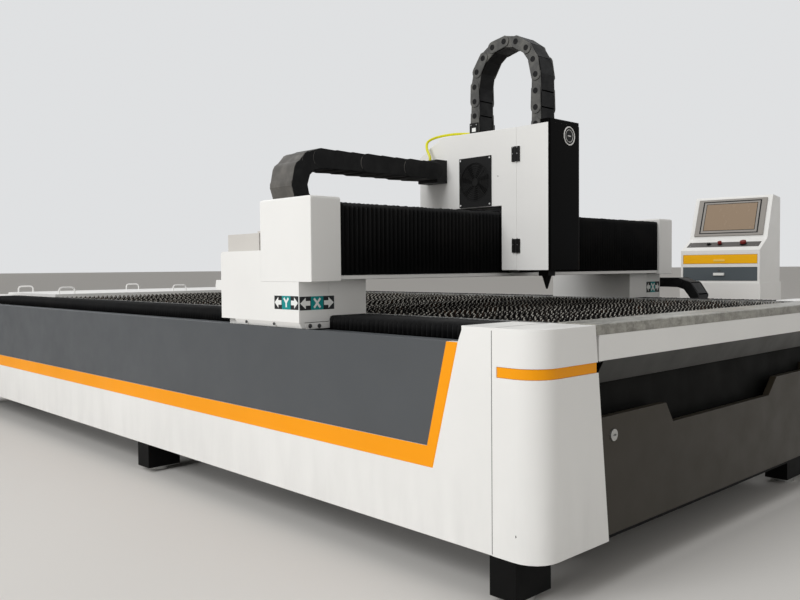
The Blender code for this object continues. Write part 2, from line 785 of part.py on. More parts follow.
def gear_outline(centre, radius, teeth):
    outline = []
    for tooth in range(teeth):
        for share, reach in ((0.0, 0.86), (0.30, 0.86), (0.45, 1.0), (0.85, 1.0)):
            angle = 2 * math.pi * (tooth + share) / teeth
            arm = radius * reach
            outline.append((centre[0] + arm * math.cos(angle), centre[1] + arm * math.sin(angle)))
    return outline


def drive_pinions():
    """Pinions that roll along the bed's racks and the beam's rack."""
    for side in ("left", "right"):
        x = across(0.2620, side)
        outline = gear_outline((0.0, 0.0), PINION_R, 12)
        pinion = prism(f"y_pinion_{side}", "steel", outline, "z", -0.012, 0.012)
        pinion.location = (x, 1.520, 0.7200)
        shaft = rod(f"y_pinion_shaft_{side}", None, 0.009, "z", (x, 1.520, 0.7470), 0.043, sides=16)
        join(pinion, shaft)
    centre = (HEAD_AXIS[0], 1.120 - PINION_R - GAP)
    outline = gear_outline((0.0, 0.0), PINION_R, 12)
    pinion = prism("x_pinion", "steel", outline, "y", -0.008, 0.008)
    pinion.location = (centre[0], 1.1140, centre[1])


def x_carriage():
    """The slide on the beam's front rails, seen between the two bellows."""
    outline = [
        (1.0305, 0.995),
        (1.1045, 0.995),
        (1.1045, 1.230),
        (1.1000, 1.262),
        (1.3350, 1.262),
        (1.3350, 1.274),
        (1.0305, 1.274),
    ]
    prism("x_carriage", "steel", outline, "x", 1.163, 1.251)


def head_housing():
    """White housing behind the seam: a hollow column in front of the beam and a box over it."""
    wall = 0.012
    low, high = HEAD_LEFT, HEAD_RIGHT
    outline = [
        (HEAD_SEAM + GAP, HEAD_LOW),
        (HEAD_BACK, HEAD_LOW),
        (HEAD_BACK, 1.280),
        (1.557, 1.280),
        (1.556, 1.551),
        (1.403, 1.635),
        (HEAD_SEAM + GAP, HEAD_TOP),
    ]
    housing = prism("head_housing", "white_paint", outline, "x", low, high)
    column = box(
        "housing_column_room",
        None,
        (low + wall, HEAD_SEAM - 0.01, HEAD_LOW + wall),
        (high - wall, HEAD_BACK - wall, HEAD_TOP - wall),
    )
    upper = box(
        "housing_upper_room", None, (low + wall, 0.99, 1.292), (high - wall, 1.545, 1.535)
    )
    slot = box("grille_slots", None, (low - 0.02, 1.096, 1.300), (low + 0.02, 1.271, 1.316))
    slots = slot.modifiers.new("grille_slots", "ARRAY")
    slots.count = 6
    slots.use_relative_offset = False
    slots.use_constant_offset = True
    slots.constant_offset_displace = (0.0, 0.0, 0.0385)
    cut(housing, column, upper, slot)
    rails = []
    for name, x in (("left", 1.140), ("right", 1.259)):
        rails.append(
            box(f"head_rail_{name}", None, (x, 0.9985, 1.030), (x + 0.015, HEAD_BACK - 0.005, 1.288))
        )
    motor = box("lift_motor", None, (1.172, 0.965, 1.530), (1.242, 1.010, HEAD_TOP - 0.005))
    bracket = box("x_chain_bracket", None, (1.0205, 1.370, 1.410), (low + 0.005, 1.500, 1.520))
    clamp = box("z_chain_clamp", None, (1.140, 1.205, 1.620), (1.270, 1.280, 1.6400))
    join(housing, *rails, motor, bracket, clamp)
    for name, z_low, z_high in HINGE_LEAVES:
        leaf = box(f"hinge_leaf_{name}", None, (1.083, 0.951, z_low), (low + 0.004, 0.966, z_high))
        join(housing, leaf)


def head_front_cover():
    """The black-fronted cover, hinged on its left edge, open below and notched for the Z chain."""
    wall = 0.012
    hinge = (HEAD_LEFT - 0.0065, HEAD_SEAM, HEAD_LOW)
    plan = rounded(
        [
            (HEAD_LEFT, HEAD_SEAM - GAP),
            (HEAD_LEFT, HEAD_FRONT, 0.012),
            (HEAD_RIGHT, HEAD_FRONT, 0.012),
            (HEAD_RIGHT, HEAD_SEAM - GAP),
        ],
        4,
    )
    cover = prism("head_front_cover", "black_gloss", plan, "z", HEAD_LOW, HEAD_TOP, origin=hinge)
    room = box(
        "front_cover_room",
        None,
        (HEAD_LEFT + wall, HEAD_FRONT + wall, HEAD_LOW - 0.02),
        (HEAD_RIGHT - wall, HEAD_SEAM + 0.02, HEAD_TOP - wall),
    )
    notch = box("front_cover_notch", None, (1.130, 0.830, 1.600), (1.280, HEAD_SEAM + 0.02, 1.670))
    cut(cover, room, notch)
    lid = rounded(
        [
            (HEAD_LEFT + 0.002, 0.812),
            (HEAD_LEFT + 0.002, HEAD_FRONT + 0.002, 0.010),
            (HEAD_RIGHT - 0.002, HEAD_FRONT + 0.002, 0.010),
            (HEAD_RIGHT - 0.002, 0.812),
        ]
    )
    join(cover, prism("front_cover_lid", None, lid, "z", HEAD_TOP - 0.005, LID_TOP))
    for name, z_low, z_high in HINGE_LEAVES:
        leaf = box(
            f"cover_leaf_{name}", None, (1.083, 0.922, z_low), (HEAD_LEFT + 0.004, 0.9425, z_high)
        )
        middle = (hinge[0], hinge[1], (z_low + z_high) / 2)
        barrel = rod(f"hinge_barrel_{name}", None, 0.0055, "z", middle, z_high - z_low, sides=12)
        join(cover, leaf, barrel)


def cutting_head():
    """The lift slide with the optics block, the nozzle below and the chain bracket above."""
    x, y = HEAD_AXIS
    plate = box("cutting_head", "steel", (1.135, 0.957, 1.080), (1.279, 0.985, 1.340))
    block = box("optics_block", None, (x - 0.035, 0.820, 1.000), (x + 0.035, 0.9420, 1.360))
    bridge = box("optics_bridge", None, (x - 0.030, 0.930, 1.100), (x + 0.030, 0.965, 1.330))
    sensor = box("height_sensor", None, (x - 0.027, y - 0.027, 0.958), (x + 0.027, y + 0.027, 1.010))
    nozzle = rod("nozzle", None, 0.004, "z", (x, y, 0.9295), 0.061, sides=20, tip=0.022)
    bracket = box("z_chain_bracket", None, (1.150, 0.850, 1.350), (1.260, 0.960, 1.3995))
    neck = box("bracket_neck", None, (1.150, 0.950, 1.330), (1.260, 0.975, 1.3995))
    join(plate, block, bridge, sensor, nozzle, bracket, neck)
    rod("z_screw", "steel", 0.006, "z", (x, SCREW_Y, 1.255), 0.430, sides=12)


def energy_chains():
    """Link chains for the X, Y and Z travel, each a bend between straight runs."""
    low, high = 1.3595, 1.515
    centre, radius, thick, pitch = (0.310, 1.348), 0.116, 0.088, 0.090
    start = centre[0] + GAP
    upper = straight_path((start, centre[1] + radius), (1.0200, centre[1] + radius))
    chain("x_chain_upper", upper, thick, pitch, "y", low, high)
    turn = arc_path(centre, radius, math.pi / 2, 3 * math.pi / 2)
    chain("x_chain_bend", turn, thick, pitch, "y", low, high)
    lower = straight_path((start, centre[1] - radius), (1.300, centre[1] - radius))
    chain("x_chain_lower", lower, thick, pitch, "y", low, high)

    low, high = 1.147, 1.262
    centre, radius, thick, pitch = (1.060, 1.860), 0.1825, 0.058, 0.080
    rear = straight_path((centre[0] + radius, 1.6405), (centre[0] + radius, centre[1] - GAP))
    chain("z_chain_rear", rear, thick, pitch, "x", low, high)
    turn = arc_path(centre, radius, 0.0, math.pi)
    chain("z_chain_bend", turn, thick, pitch, "x", low, high)
    front = straight_path((centre[0] - radius, 1.4000), (centre[0] - radius, centre[1] - GAP))
    chain("z_chain_front", front, thick, pitch, "x", low, high)

    low, high = 2.700, 2.830
    centre, radius, thick, pitch = (1.020, 0.790), 0.110, 0.060, 0.100
    start = centre[0] + GAP
    upper = straight_path((start, centre[1] + radius), (1.500, centre[1] + radius))
    chain("y_chain_upper", upper, thick, pitch, "x", low, high)
    turn = arc_path(centre, radius, math.pi / 2, 3 * math.pi / 2)
    chain("y_chain_bend", turn, thick, pitch, "x", low, high)
    lower = straight_path((start, centre[1] - radius), (2.700, centre[1] - radius))
    chain("y_chain_lower", lower, thick, pitch, "x", low, high)


def y_chain_tray():
    """The channel on the right side of the bed that the Y chain lies in."""
    outer, wall, floor = 2.845, 0.004, 0.6485
    outline = [
        (BED_W + GAP, 0.630),
        (outer, 0.630),
        (outer, 0.700),
        (outer - wall, 0.700),
        (outer - wall, floor),
        (2.690, floor),
        (2.690, 0.700),
        (BED_W + GAP, 0.700),
    ]
    prism("y_chain_tray", "frame_paint", outline, "y", 0.400, 4.950)


def smooth_route(points, steps):
    """Points read from a smooth curve through the route's own points."""
    points = [Vector(point) for point in points]
    padded = [2 * points[0] - points[1], *points, 2 * points[-1] - points[-2]]
    route = []
    for k in range(1, len(padded) - 2):
        p0, p1, p2, p3 = padded[k - 1 : k + 3]
        for step in range(steps):
            t = step / steps
            bend = (2 * p0 - 5 * p1 + 4 * p2 - p3) * t * t + (3 * p1 - p0 - 3 * p2 + p3) * t ** 3
            route.append((2 * p1 + (p2 - p0) * t + bend) / 2)
    route.append(points[-1])
    return route


def fibre_cable():
    """The yellow fibre from the X chain's end over the housing to the foot of the Z chain."""
    points = (
        (1.055, 1.450, 1.5225),
        (1.055, 1.452, 1.5450),
        (1.060, 1.476, 1.5850),
        (1.078, 1.486, 1.6220),
        (1.110, 1.452, 1.644),
        (1.160, 1.390, 1.656),
        (1.196, 1.330, 1.6545),
        (1.205, 1.2810, 1.652),
    )
    route = smooth_route(points, 4)
    curve = bpy.data.curves.new("fibre_cable", "CURVE")
    curve.dimensions = "3D"
    curve.bevel_depth = 0.0065
    curve.bevel_resolution = 2
    curve.use_fill_caps = True
    spline = curve.splines.new("POLY")
    spline.points.add(len(route) - 1)
    for point, place_on in zip(spline.points, route):
        point.co = (*place_on, 1.0)
    mesh = curve_mesh(curve)
    round_shade(mesh)
    place("fibre_cable", "cable_yellow", mesh, (0, 0, 0), None)


def console():
    """The free-standing control console: cabinet, sloped screen, two drawers and the push buttons."""
    stand = new_frame("console_frame", (*CONSOLE_FRONT, 0.0), CONSOLE_YAW, parent=FRAME)
    half = CONSOLE_W / 2
    outline = [
        (0.0, 0.860),
        (0.0, 1.100),
        (0.175, 1.180),
        (0.315, 1.482, 0.012),
        (0.500, 1.472, 0.012),
        (0.500, 0.860),
    ]
    cabinet = prism(
        "console_cabinet", "white_paint", rounded(outline), "y", -half, half, parent=stand
    )
    side = half + PLINTH_STEP
    plinth = box(
        "console_plinth", None, (-PLINTH_STEP, -side, 0.0), (CONSOLE_D, side, 0.880), parent=stand
    )
    join(cabinet, plinth)
    rows = (
        ("console_drawer_upper", "yellow_paint", 1.010, 1.070),
        ("console_drawer_lower", "blue_grey_paint", 0.895, 0.985),
    )
    drawer_half = 0.244
    for name, finish, low, high in rows:
        pocket = box(
            f"{name}_pocket",
            None,
            (-0.02, -drawer_half - 0.0015, low - 0.0015),
            (0.350, drawer_half + 0.0015, high + 0.0015),
            parent=stand,
        )
        cut(cabinet, pocket)
        drawer = box(name, finish, (0.0, -drawer_half, low), (0.340, drawer_half, high), parent=stand)
        room = box(
            f"{name}_room",
            None,
            (0.014, -drawer_half + 0.010, low + 0.006),
            (0.330, drawer_half - 0.010, high + 0.05),
            parent=stand,
        )
        cut(drawer, room)
        if name == "console_drawer_lower":
            grip = box("drawer_grip", None, (-0.014, 0.010, 0.930), (0.005, 0.080, 0.948), parent=stand)
            grip_room = box(
                "drawer_grip_room", None, (-0.008, 0.018, 0.92), (0.0, 0.072, 0.96), parent=stand
            )
            lock = rod(
                "drawer_lock", None, 0.008, "x", (-0.001, 0.045, 0.968), 0.012, sides=12, parent=stand
            )
            join(drawer, cut(grip, grip_room), lock)
    shelf_tilt = math.atan2(0.080, 0.175)
    shelf = new_frame("console_shelf", (0.0875, 0.0, 1.140), parent=stand)
    shelf.rotation_euler = (0.0, -shelf_tilt, 0.0)
    buttons = (
        ("emergency_stop", "red_plastic", -0.131, 0.020),
        ("start_button", "green_plastic", 0.023, 0.013),
    )
    for name, finish, across_shelf, radius in buttons:
        cap = rod(name, finish, radius, "z", (0.0, across_shelf, 0.016), 0.016, sides=20, parent=shelf)
        stem = rod(
            f"{name}_stem", None, 0.007, "z", (0.0, across_shelf, -0.001), 0.022, sides=12, parent=shelf
        )
        join(cap, stem)
        cut(
            cabinet,
            rod(f"{name}_hole", None, 0.0085, "z", (0.0, across_shelf, 0.0), 0.060, sides=12, parent=shelf),
        )
    selector = rod("selector", None, 0.011, "z", (0.0, 0.097, 0.004), 0.020, sides=16, parent=shelf)
    join(cabinet, selector)
    slope = math.atan2(0.302, 0.140)
    panel = new_frame("console_panel", (0.175, 0.0, 1.180), parent=stand)
    panel.rotation_euler = (0.0, -slope, 0.0)
    screen = box(
        "console_screen", "screen_glass", (0.022, -0.230, 0.0005), (0.308, 0.230, 0.012), parent=panel
    )
    glass = box("screen_recess", None, (0.056, -0.180, 0.009), (0.275, 0.180, 0.02), parent=panel)
    cut(screen, glass)


clear_scene()
PARTS = new_collection("fiber_laser_cutting_machine")
TOOLS = new_collection("cutting_and_joining_shapes")
FRAME = new_frame("machine_frame", (-TOTAL_W / 2, -BED_L / 2, 0.0))

base_frames()
front_sheets()
front_door()
rear_cover()
deck_plates()
slat_bed()
slag_tray()
y_chain_tray()
gantry_beam()
beam_bellows()
drive_pinions()
x_carriage()
head_housing()
head_front_cover()
cutting_head()
energy_chains()
fibre_cable()
console()
for each_side in ("left", "right"):
    side_beam(each_side)
    side_sheets(each_side)
    front_corner(each_side)
    bed_bellows(each_side)
    foot_cover(each_side)
    end_cover(each_side)
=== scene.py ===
"""The looks of the fiber laser cutting machine: finishes, bellows, chains, slats and small fittings.

Metres, +Z up. Places are measured from the bed's front left corner on the floor and turned into the
frame's coordinates by at().
"""

import json
import math
import random

import bmesh
import bpy
from mathutils import Matrix, Vector

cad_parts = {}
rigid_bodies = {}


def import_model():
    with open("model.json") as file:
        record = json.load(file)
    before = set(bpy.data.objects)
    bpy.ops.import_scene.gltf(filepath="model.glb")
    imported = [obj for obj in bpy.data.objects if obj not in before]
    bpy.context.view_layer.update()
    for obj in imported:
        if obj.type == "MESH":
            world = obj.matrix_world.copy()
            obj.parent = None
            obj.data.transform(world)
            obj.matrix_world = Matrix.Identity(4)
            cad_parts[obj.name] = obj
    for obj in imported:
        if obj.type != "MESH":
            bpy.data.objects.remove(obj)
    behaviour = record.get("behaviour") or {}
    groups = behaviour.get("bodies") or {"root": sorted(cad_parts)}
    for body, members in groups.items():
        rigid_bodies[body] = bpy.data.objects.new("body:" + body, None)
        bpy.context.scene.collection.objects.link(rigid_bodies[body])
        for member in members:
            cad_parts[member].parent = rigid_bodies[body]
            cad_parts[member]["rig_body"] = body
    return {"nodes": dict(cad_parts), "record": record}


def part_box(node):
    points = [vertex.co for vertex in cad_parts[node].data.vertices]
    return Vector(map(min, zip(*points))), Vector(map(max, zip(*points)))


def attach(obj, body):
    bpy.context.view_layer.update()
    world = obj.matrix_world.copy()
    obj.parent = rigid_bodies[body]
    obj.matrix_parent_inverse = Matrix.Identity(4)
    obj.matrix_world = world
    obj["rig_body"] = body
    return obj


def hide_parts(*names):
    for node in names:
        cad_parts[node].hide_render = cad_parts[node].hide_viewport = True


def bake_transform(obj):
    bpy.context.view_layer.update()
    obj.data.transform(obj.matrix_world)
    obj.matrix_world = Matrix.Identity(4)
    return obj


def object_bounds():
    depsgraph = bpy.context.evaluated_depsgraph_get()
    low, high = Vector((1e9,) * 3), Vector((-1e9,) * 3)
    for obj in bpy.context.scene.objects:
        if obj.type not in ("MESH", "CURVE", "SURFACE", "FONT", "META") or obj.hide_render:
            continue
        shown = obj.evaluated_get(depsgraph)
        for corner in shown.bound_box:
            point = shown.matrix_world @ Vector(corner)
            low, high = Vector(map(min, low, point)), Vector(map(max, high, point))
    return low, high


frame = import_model()
CAD_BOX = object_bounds()
CORNER = Vector((CAD_BOX[0][0], CAD_BOX[0][1], 0.0))
BED_W = 2.665
BED_L = CAD_BOX[1][1] - CAD_BOX[0][1]

# Camera, at the photograph's view
EYE = (-1.841, -1.388, 1.0)
YAW = math.radians(46.59)
PITCH = math.radians(-2.242)
ROLL = math.radians(-0.496)
LENS_MM = 36.94

ALONG_X, ALONG_Y, UPWARDS = (1, 0, 0), (0, 1, 0), (0, 0, 1)

# Edges that bend by more than this are rounded
SHARP = math.radians(28)

# Places and turns that several pieces share
HOUSING_LEFT = 1.0905
CONSOLE_SPOT = Vector((3.55, 1.165, 0.0))
CONSOLE_TURN = math.radians(8)
SHELF = Matrix.Translation((0.0875, 0, 1.140)) @ Matrix.Rotation(-math.atan2(0.080, 0.175), 4, "Y")
SCREEN_FACE = Matrix.Translation((0.175, 0, 1.180)) @ Matrix.Rotation(-math.atan2(0.302, 0.140), 4, "Y")


def at(x, y, z):
    """A place measured from the bed's front left corner, in the frame's coordinates."""
    return CORNER + Vector((x, y, z))


def srgb(red, green, blue):
    """A colour as it looks on a screen, 0 to 255, in the shader's linear values."""
    channels = (red, green, blue)
    return tuple(((c / 255 + 0.055) / 1.055) ** 2.4 if c > 10 else c / 3295 for c in channels)


class Value:
    """A shader socket that takes Python's arithmetic by adding Math nodes."""

    def __init__(self, finish, socket):
        self.finish = finish
        self.socket = socket

    def maths(self, operation, first, second):
        node = self.finish.node("ShaderNodeMath", {"operation": operation}, [first, second])
        return Value(self.finish, node.outputs[0])

    def __add__(self, other):
        return self.maths("ADD", self, other)

    def __radd__(self, other):
        return self.maths("ADD", other, self)

    def __sub__(self, other):
        return self.maths("SUBTRACT", self, other)

    def __rsub__(self, other):
        return self.maths("SUBTRACT", other, self)

    def __mul__(self, other):
        return self.maths("MULTIPLY", self, other)

    def __rmul__(self, other):
        return self.maths("MULTIPLY", other, self)

    def power(self, exponent):
        return self.maths("POWER", self, exponent)


class Finish:
    """One surface finish: a Principled shader with constants and patterns on its sockets."""

    def __init__(self, name, colour, roughness, metallic=0.0, **constants):
        self.material = bpy.data.materials.new(name)
        self.material.use_nodes = True
        self.tree = self.material.node_tree
        self.shader = self.tree.nodes["Principled BSDF"]
        self.set("Base Color", (*colour, 1.0))
        self.set("Roughness", roughness)
        self.set("Metallic", metallic)
        for socket, value in constants.items():
            self.set(socket.replace("_", " ").title().replace("Ior", "IOR"), value)

    def set(self, socket, value):
        """Set a shader socket to a constant, or link a pattern to it."""
        if isinstance(value, Value):
            self.tree.links.new(value.socket, self.shader.inputs[socket])
        else:
            self.shader.inputs[socket].default_value = value

    def node(self, kind, settings=None, inputs=()):
        """A node with its settings, and its inputs by position or by name."""
        node = self.tree.nodes.new(kind)
        for key, value in (settings or {}).items():
            setattr(node, key, value)
        pairs = inputs.items() if isinstance(inputs, dict) else enumerate(inputs)
        for key, value in pairs:
            if isinstance(value, Value):
                self.tree.links.new(value.socket, node.inputs[key])
            elif value is not None:
                node.inputs[key].default_value = value
        return node

    def place(self, scale=(1.0, 1.0, 1.0)):
        """Object coordinates, stretched along each axis."""
        coordinates = self.node("ShaderNodeTexCoord")
        mapping = self.node(
            "ShaderNodeMapping", inputs={"Vector": Value(self, coordinates.outputs["Object"])}
        )
        mapping.inputs["Scale"].default_value = scale
        return Value(self, mapping.outputs[0])

    def noise(self, scale, detail=3.0, stretch=(1.0, 1.0, 1.0), roughness=0.5):
        node = self.node(
            "ShaderNodeTexNoise",
            inputs={
                "Vector": self.place(stretch),
                "Scale": scale,
                "Detail": detail,
                "Roughness": roughness,
            },
        )
        return Value(self, node.outputs["Fac"])

    def cells(self, scale, stretch=(1.0, 1.0, 1.0)):
        node = self.node(
            "ShaderNodeTexVoronoi", inputs={"Vector": self.place(stretch), "Scale": scale}
        )
        return Value(self, node.outputs["Color"])

    def height(self):
        """The height above the floor."""
        split = self.node("ShaderNodeSeparateXYZ", inputs=[self.place()])
        return Value(self, split.outputs["Z"])

    def spread(self, value, low, high, to_low=0.0, to_high=1.0):
        """Map a range of a pattern onto another range, held at its ends."""
        node = self.node("ShaderNodeMapRange", inputs=[value, low, high, to_low, to_high])
        return Value(self, node.outputs[0])

    def blend(self, factor, first, second):
        """A colour between two others."""
        node = self.node("ShaderNodeMix", {"data_type": "RGBA"})
        for socket, value in (("Factor", factor), ("A", first), ("B", second)):
            target = [s for s in node.inputs if s.name == socket and s.enabled][0]
            if isinstance(value, Value):
                self.tree.links.new(value.socket, target)
            else:
                target.default_value = value if socket == "Factor" else (*value, 1.0)
        return Value(self, [s for s in node.outputs if s.enabled][0])

    def uneven_gloss(self, scale, roughness, smoother, rougher):
        """Let the roughness wander round its mean."""
        pattern = self.noise(scale)
        low, high = roughness - smoother, roughness + rougher
        self.set("Roughness", self.spread(pattern, 0.3, 0.7, low, high))

    def bump(self, height, strength, distance):
        node = self.node(
            "ShaderNodeBump", inputs={"Strength": strength, "Distance": distance, "Height": height}
        )
        self.tree.links.new(node.outputs[0], self.shader.inputs["Normal"])


def powder_coat(name, colour, roughness=0.35, shade=0.06, grime=0.0, shine=0.22):
    """Sprayed paint: a fine orange peel, uneven gloss, faint patches and grime near the floor."""
    paint = Finish(
        name, colour, roughness, specular_ior_level=shine, coat_weight=0.03, coat_roughness=0.2
    )
    patches = paint.noise(2.2, 4.0)
    darker = tuple(c * (1 - shade) for c in colour)
    tint = paint.blend(paint.spread(patches, 0.35, 0.7), colour, darker)
    if grime:
        streaks = paint.noise(14.0, 5.0, (1.0, 1.0, 0.25))
        low = paint.spread(paint.height(), 0.14, 0.62, 1.0, 0.0).power(1.6)
        dusty = tuple(c * 0.55 + 0.08 for c in colour)
        tint = paint.blend(low * paint.spread(streaks, 0.35, 0.75) * grime, tint, dusty)
    paint.set("Base Color", tint)
    paint.uneven_gloss(9.0, roughness, 0.05, 0.08)
    paint.bump(paint.noise(420.0, 2.0), 0.12, 0.0006)
    return paint.material


def galvanised_sheet():
    """Zinc coat: a fine spangle under soft blotches, scratched along the strip."""
    zinc = Finish("galvanised_sheet", srgb(190, 188, 182), 0.36, 0.80)
    grain = zinc.node("ShaderNodeSeparateColor", inputs=[zinc.cells(150.0, (0.7, 1.0, 1.0))])
    flake = Value(zinc, grain.outputs[0])
    blotch = zinc.spread(zinc.noise(26.0, 5.0, (0.8, 1.2, 1.0), 0.65), 0.38, 0.62)
    tint = zinc.blend(flake * 0.35 + blotch * 0.65, srgb(128, 126, 119), srgb(186, 184, 176))
    smears = zinc.spread(zinc.noise(5.0, 5.0, (0.3, 1.5, 1.0)), 0.4, 0.7)
    zinc.set("Base Color", zinc.blend(smears * 0.45, tint, srgb(104, 100, 90)))
    zinc.set("Roughness", zinc.spread(flake, 0.0, 1.0, 0.30, 0.46))
    zinc.bump(zinc.noise(260.0, 3.0, (0.05, 1.0, 1.0)), 0.15, 0.0005)
    return zinc.material


def machined_steel(name, colour, roughness=0.32):
    """Ground steel with fine tool lines and faint oil stains."""
    steel = Finish(name, colour, roughness, 0.95)
    stain = steel.spread(steel.noise(11.0, 4.0), 0.4, 0.75)
    steel.set("Base Color", steel.blend(stain * 0.5, colour, tuple(c * 0.6 for c in colour)))
    steel.uneven_gloss(40.0, roughness, 0.07, 0.1)
    steel.bump(steel.noise(500.0, 2.0, (0.06, 1.0, 1.0)), 0.12, 0.0004)
    return steel.material


def slat_steel():
    """Mill scale on cut steel: near black flats, with a painted highlight at the tips of the teeth."""
    scale = Finish("slat_steel", srgb(46, 43, 40), 0.5, 0.10, specular_ior_level=0.06)
    spots = scale.spread(scale.noise(60.0, 4.0), 0.42, 0.66)
    tint = scale.blend(spots, srgb(6, 5, 4), srgb(20, 17, 15))
    rust = scale.spread(scale.noise(8.0, 5.0), 0.55, 0.72)
    tint = scale.blend(rust * 0.45, tint, srgb(96, 66, 44))
    # The pale band at the tips of the teeth is a painted highlight, where the tips catch the light from
    # above.
    ground = scale.spread(scale.height() + scale.noise(35.0, 2.0) * 0.010, 0.8205, 0.8250)
    scale.set("Base Color", scale.blend(ground * 0.95, tint, srgb(228, 224, 214)))
    scale.set("Roughness", scale.spread(spots, 0.0, 1.0, 0.60, 0.42))
    scale.bump(scale.noise(180.0, 4.0), 0.3, 0.0008)
    return scale.material


def cut_edge():
    """The slats' flame-cut edges: painted shade at the roots of the teeth, a painted highlight towards
    the tips, and sooty patches.
    """
    edge = Finish("cut_edge", srgb(150, 144, 134), 0.45, 0.2, specular_ior_level=0.15)
    soot = edge.spread(edge.noise(55.0, 4.0), 0.38, 0.60)
    # Dark at the roots and pale at the tips, by height: painted shade and painted highlight.
    lit_by_height = edge.spread(edge.height(), 0.811, 0.8205)
    tint = edge.blend(lit_by_height, srgb(12, 11, 10), srgb(226, 222, 212))
    edge.set("Base Color", edge.blend(soot * 0.92, tint, srgb(14, 13, 12)))
    edge.set("Roughness", edge.spread(soot, 0.0, 1.0, 0.38, 0.60))
    edge.bump(edge.noise(300.0, 3.0), 0.3, 0.0006)
    return edge.material


def coated_cloth():
    """The bellows' coated cloth: a fine weave, and dust in patches."""
    cloth = Finish("coated_cloth", srgb(11, 11, 12), 0.66, specular_ior_level=0.16, sheen_weight=0.02)
    weave = cloth.noise(900.0, 1.0)
    dust = cloth.spread(cloth.noise(7.0, 4.0), 0.45, 0.8)
    cloth.set("Base Color", cloth.blend(dust * 0.35, srgb(9, 9, 10), srgb(38, 36, 34)))
    cloth.bump(weave, 0.25, 0.0005)
    return cloth.material


def chain_nylon(name, colour, rubbed, shine=0.3):
    """Moulded glass-filled nylon, greyed on its rubbed faces."""
    nylon = Finish(name, colour, 0.5, specular_ior_level=shine)
    rub = nylon.spread(nylon.noise(22.0, 5.0), 0.40, 0.72)
    nylon.set("Base Color", nylon.blend(rub * 0.6, colour, rubbed))
    nylon.set("Roughness", nylon.spread(rub, 0.0, 1.0, 0.58, 0.45))
    nylon.bump(nylon.noise(650.0, 2.0), 0.22, 0.0004)
    return nylon.material


def plain_plastic(name, colour, roughness=0.4, coat=0.0, shine=0.24):
    """Moulded plastic with a faint grain and an uneven gloss."""
    plastic = Finish(
        name, colour, roughness, specular_ior_level=shine, coat_weight=coat, coat_roughness=0.08
    )
    plastic.uneven_gloss(30.0, roughness, 0.04, 0.07)
    plastic.bump(plastic.noise(700.0, 2.0), 0.1, 0.0003)
    return plastic.material


def black_lacquer():
    """Polished black paint: a very faint wave, and dust in patches that dulls it."""
    lacquer = Finish("black_lacquer", srgb(4, 4, 4), 0.24, specular_ior_level=0.03, coat_roughness=0.05)
    haze = lacquer.spread(lacquer.noise(6.0, 4.0, (1.0, 1.0, 0.3)), 0.40, 0.75)
    lacquer.set("Base Color", lacquer.blend(haze * 0.5, srgb(3, 3, 3), srgb(14, 11, 8)))
    lacquer.set("Roughness", lacquer.spread(haze, 0.0, 1.0, 0.16, 0.30))
    lacquer.bump(lacquer.noise(9.0, 2.0), 0.04, 0.002)
    return lacquer.material


WHITE = powder_coat("white_powder_coat", srgb(238, 238, 236), 0.34, 0.04, 0.28)
PANEL_GREY = powder_coat("panel_grey", srgb(84, 87, 90), 0.50, 0.10)
ORANGE = powder_coat("orange_band", srgb(255, 162, 0), 0.50, 0.05)
AMBER = powder_coat("amber_strip", srgb(255, 165, 0), 0.40, 0.12)
DOOR_BROWN = powder_coat("door_brown_black", srgb(50, 45, 36), 0.36, 0.14, 0.04)
SLOPE_GREY = powder_coat("slope_grey", srgb(58, 58, 56), 0.40, 0.10)
# Near black for the set-back strip above the front door: painted shade of the recess.
RECESS_PAINTED_SHADE = powder_coat("recess_painted_shade", srgb(6, 6, 4), 0.70, 0.10, shine=0.08)
# Grey for the motor boxes that stand set back on the foot covers: partly their own paint, partly
# painted shade.
MOTOR_BOX_GREY_AND_SHADE = powder_coat("motor_box_paint_and_shade", srgb(206, 203, 198), 0.42, 0.05)
FRAME_BLACK = powder_coat("frame_black", srgb(9, 9, 9), 0.60, 0.20, shine=0.10)
BLACK_GLOSS = black_lacquer()
YELLOW = powder_coat("console_yellow", srgb(255, 188, 0), 0.38, 0.05)
DRAWER_GREY = powder_coat("drawer_blue_grey", srgb(86, 94, 99), 0.38, 0.08)
ZINC = galvanised_sheet()
STEEL = machined_steel("machined_steel", srgb(186, 186, 184))
DARK_STEEL = machined_steel("dark_steel", srgb(92, 92, 92), 0.40)
SLATS = slat_steel()
CUT_EDGE = cut_edge()
CLOTH = coated_cloth()
NYLON = chain_nylon("chain_nylon", srgb(16, 16, 17), srgb(32, 32, 32), 0.16)
# Paler nylon for the chain faces turned to the key lamp: painted light, with rubbed wear.
NYLON_LIT_AND_WORN = chain_nylon("nylon_links_lit_and_worn", srgb(84, 82, 79), srgb(112, 109, 104))
# Grey nylon for the open chains' side plates, which face the key lamp: painted light, with rubbed wear.
GREY_PLATES_LIT_AND_WORN = chain_nylon("grey_chain_nylon", srgb(78, 78, 77), srgb(116, 115, 110))
BLACK_PLASTIC = plain_plastic("black_plastic", srgb(9, 9, 9), 0.50)
RED_PLASTIC = plain_plastic("red_plastic", srgb(112, 26, 24), 0.46)
FIBRE_YELLOW = plain_plastic("fibre_yellow", srgb(222, 218, 22), 0.38, 0.2)
TEAL = plain_plastic("teal_label", srgb(0, 138, 138), 0.40)
LABEL_DARK = plain_plastic("label_dark", srgb(34, 36, 38), 0.40)
LABEL_WHITE = plain_plastic("label_white", srgb(236, 238, 236), 0.35, 0.2)
SCREEN_GLASS = plain_plastic("screen_glass", srgb(146, 126, 104), 0.22, 0.1)
BEZEL_GREY = plain_plastic("bezel_grey", srgb(150, 146, 141), 0.45)
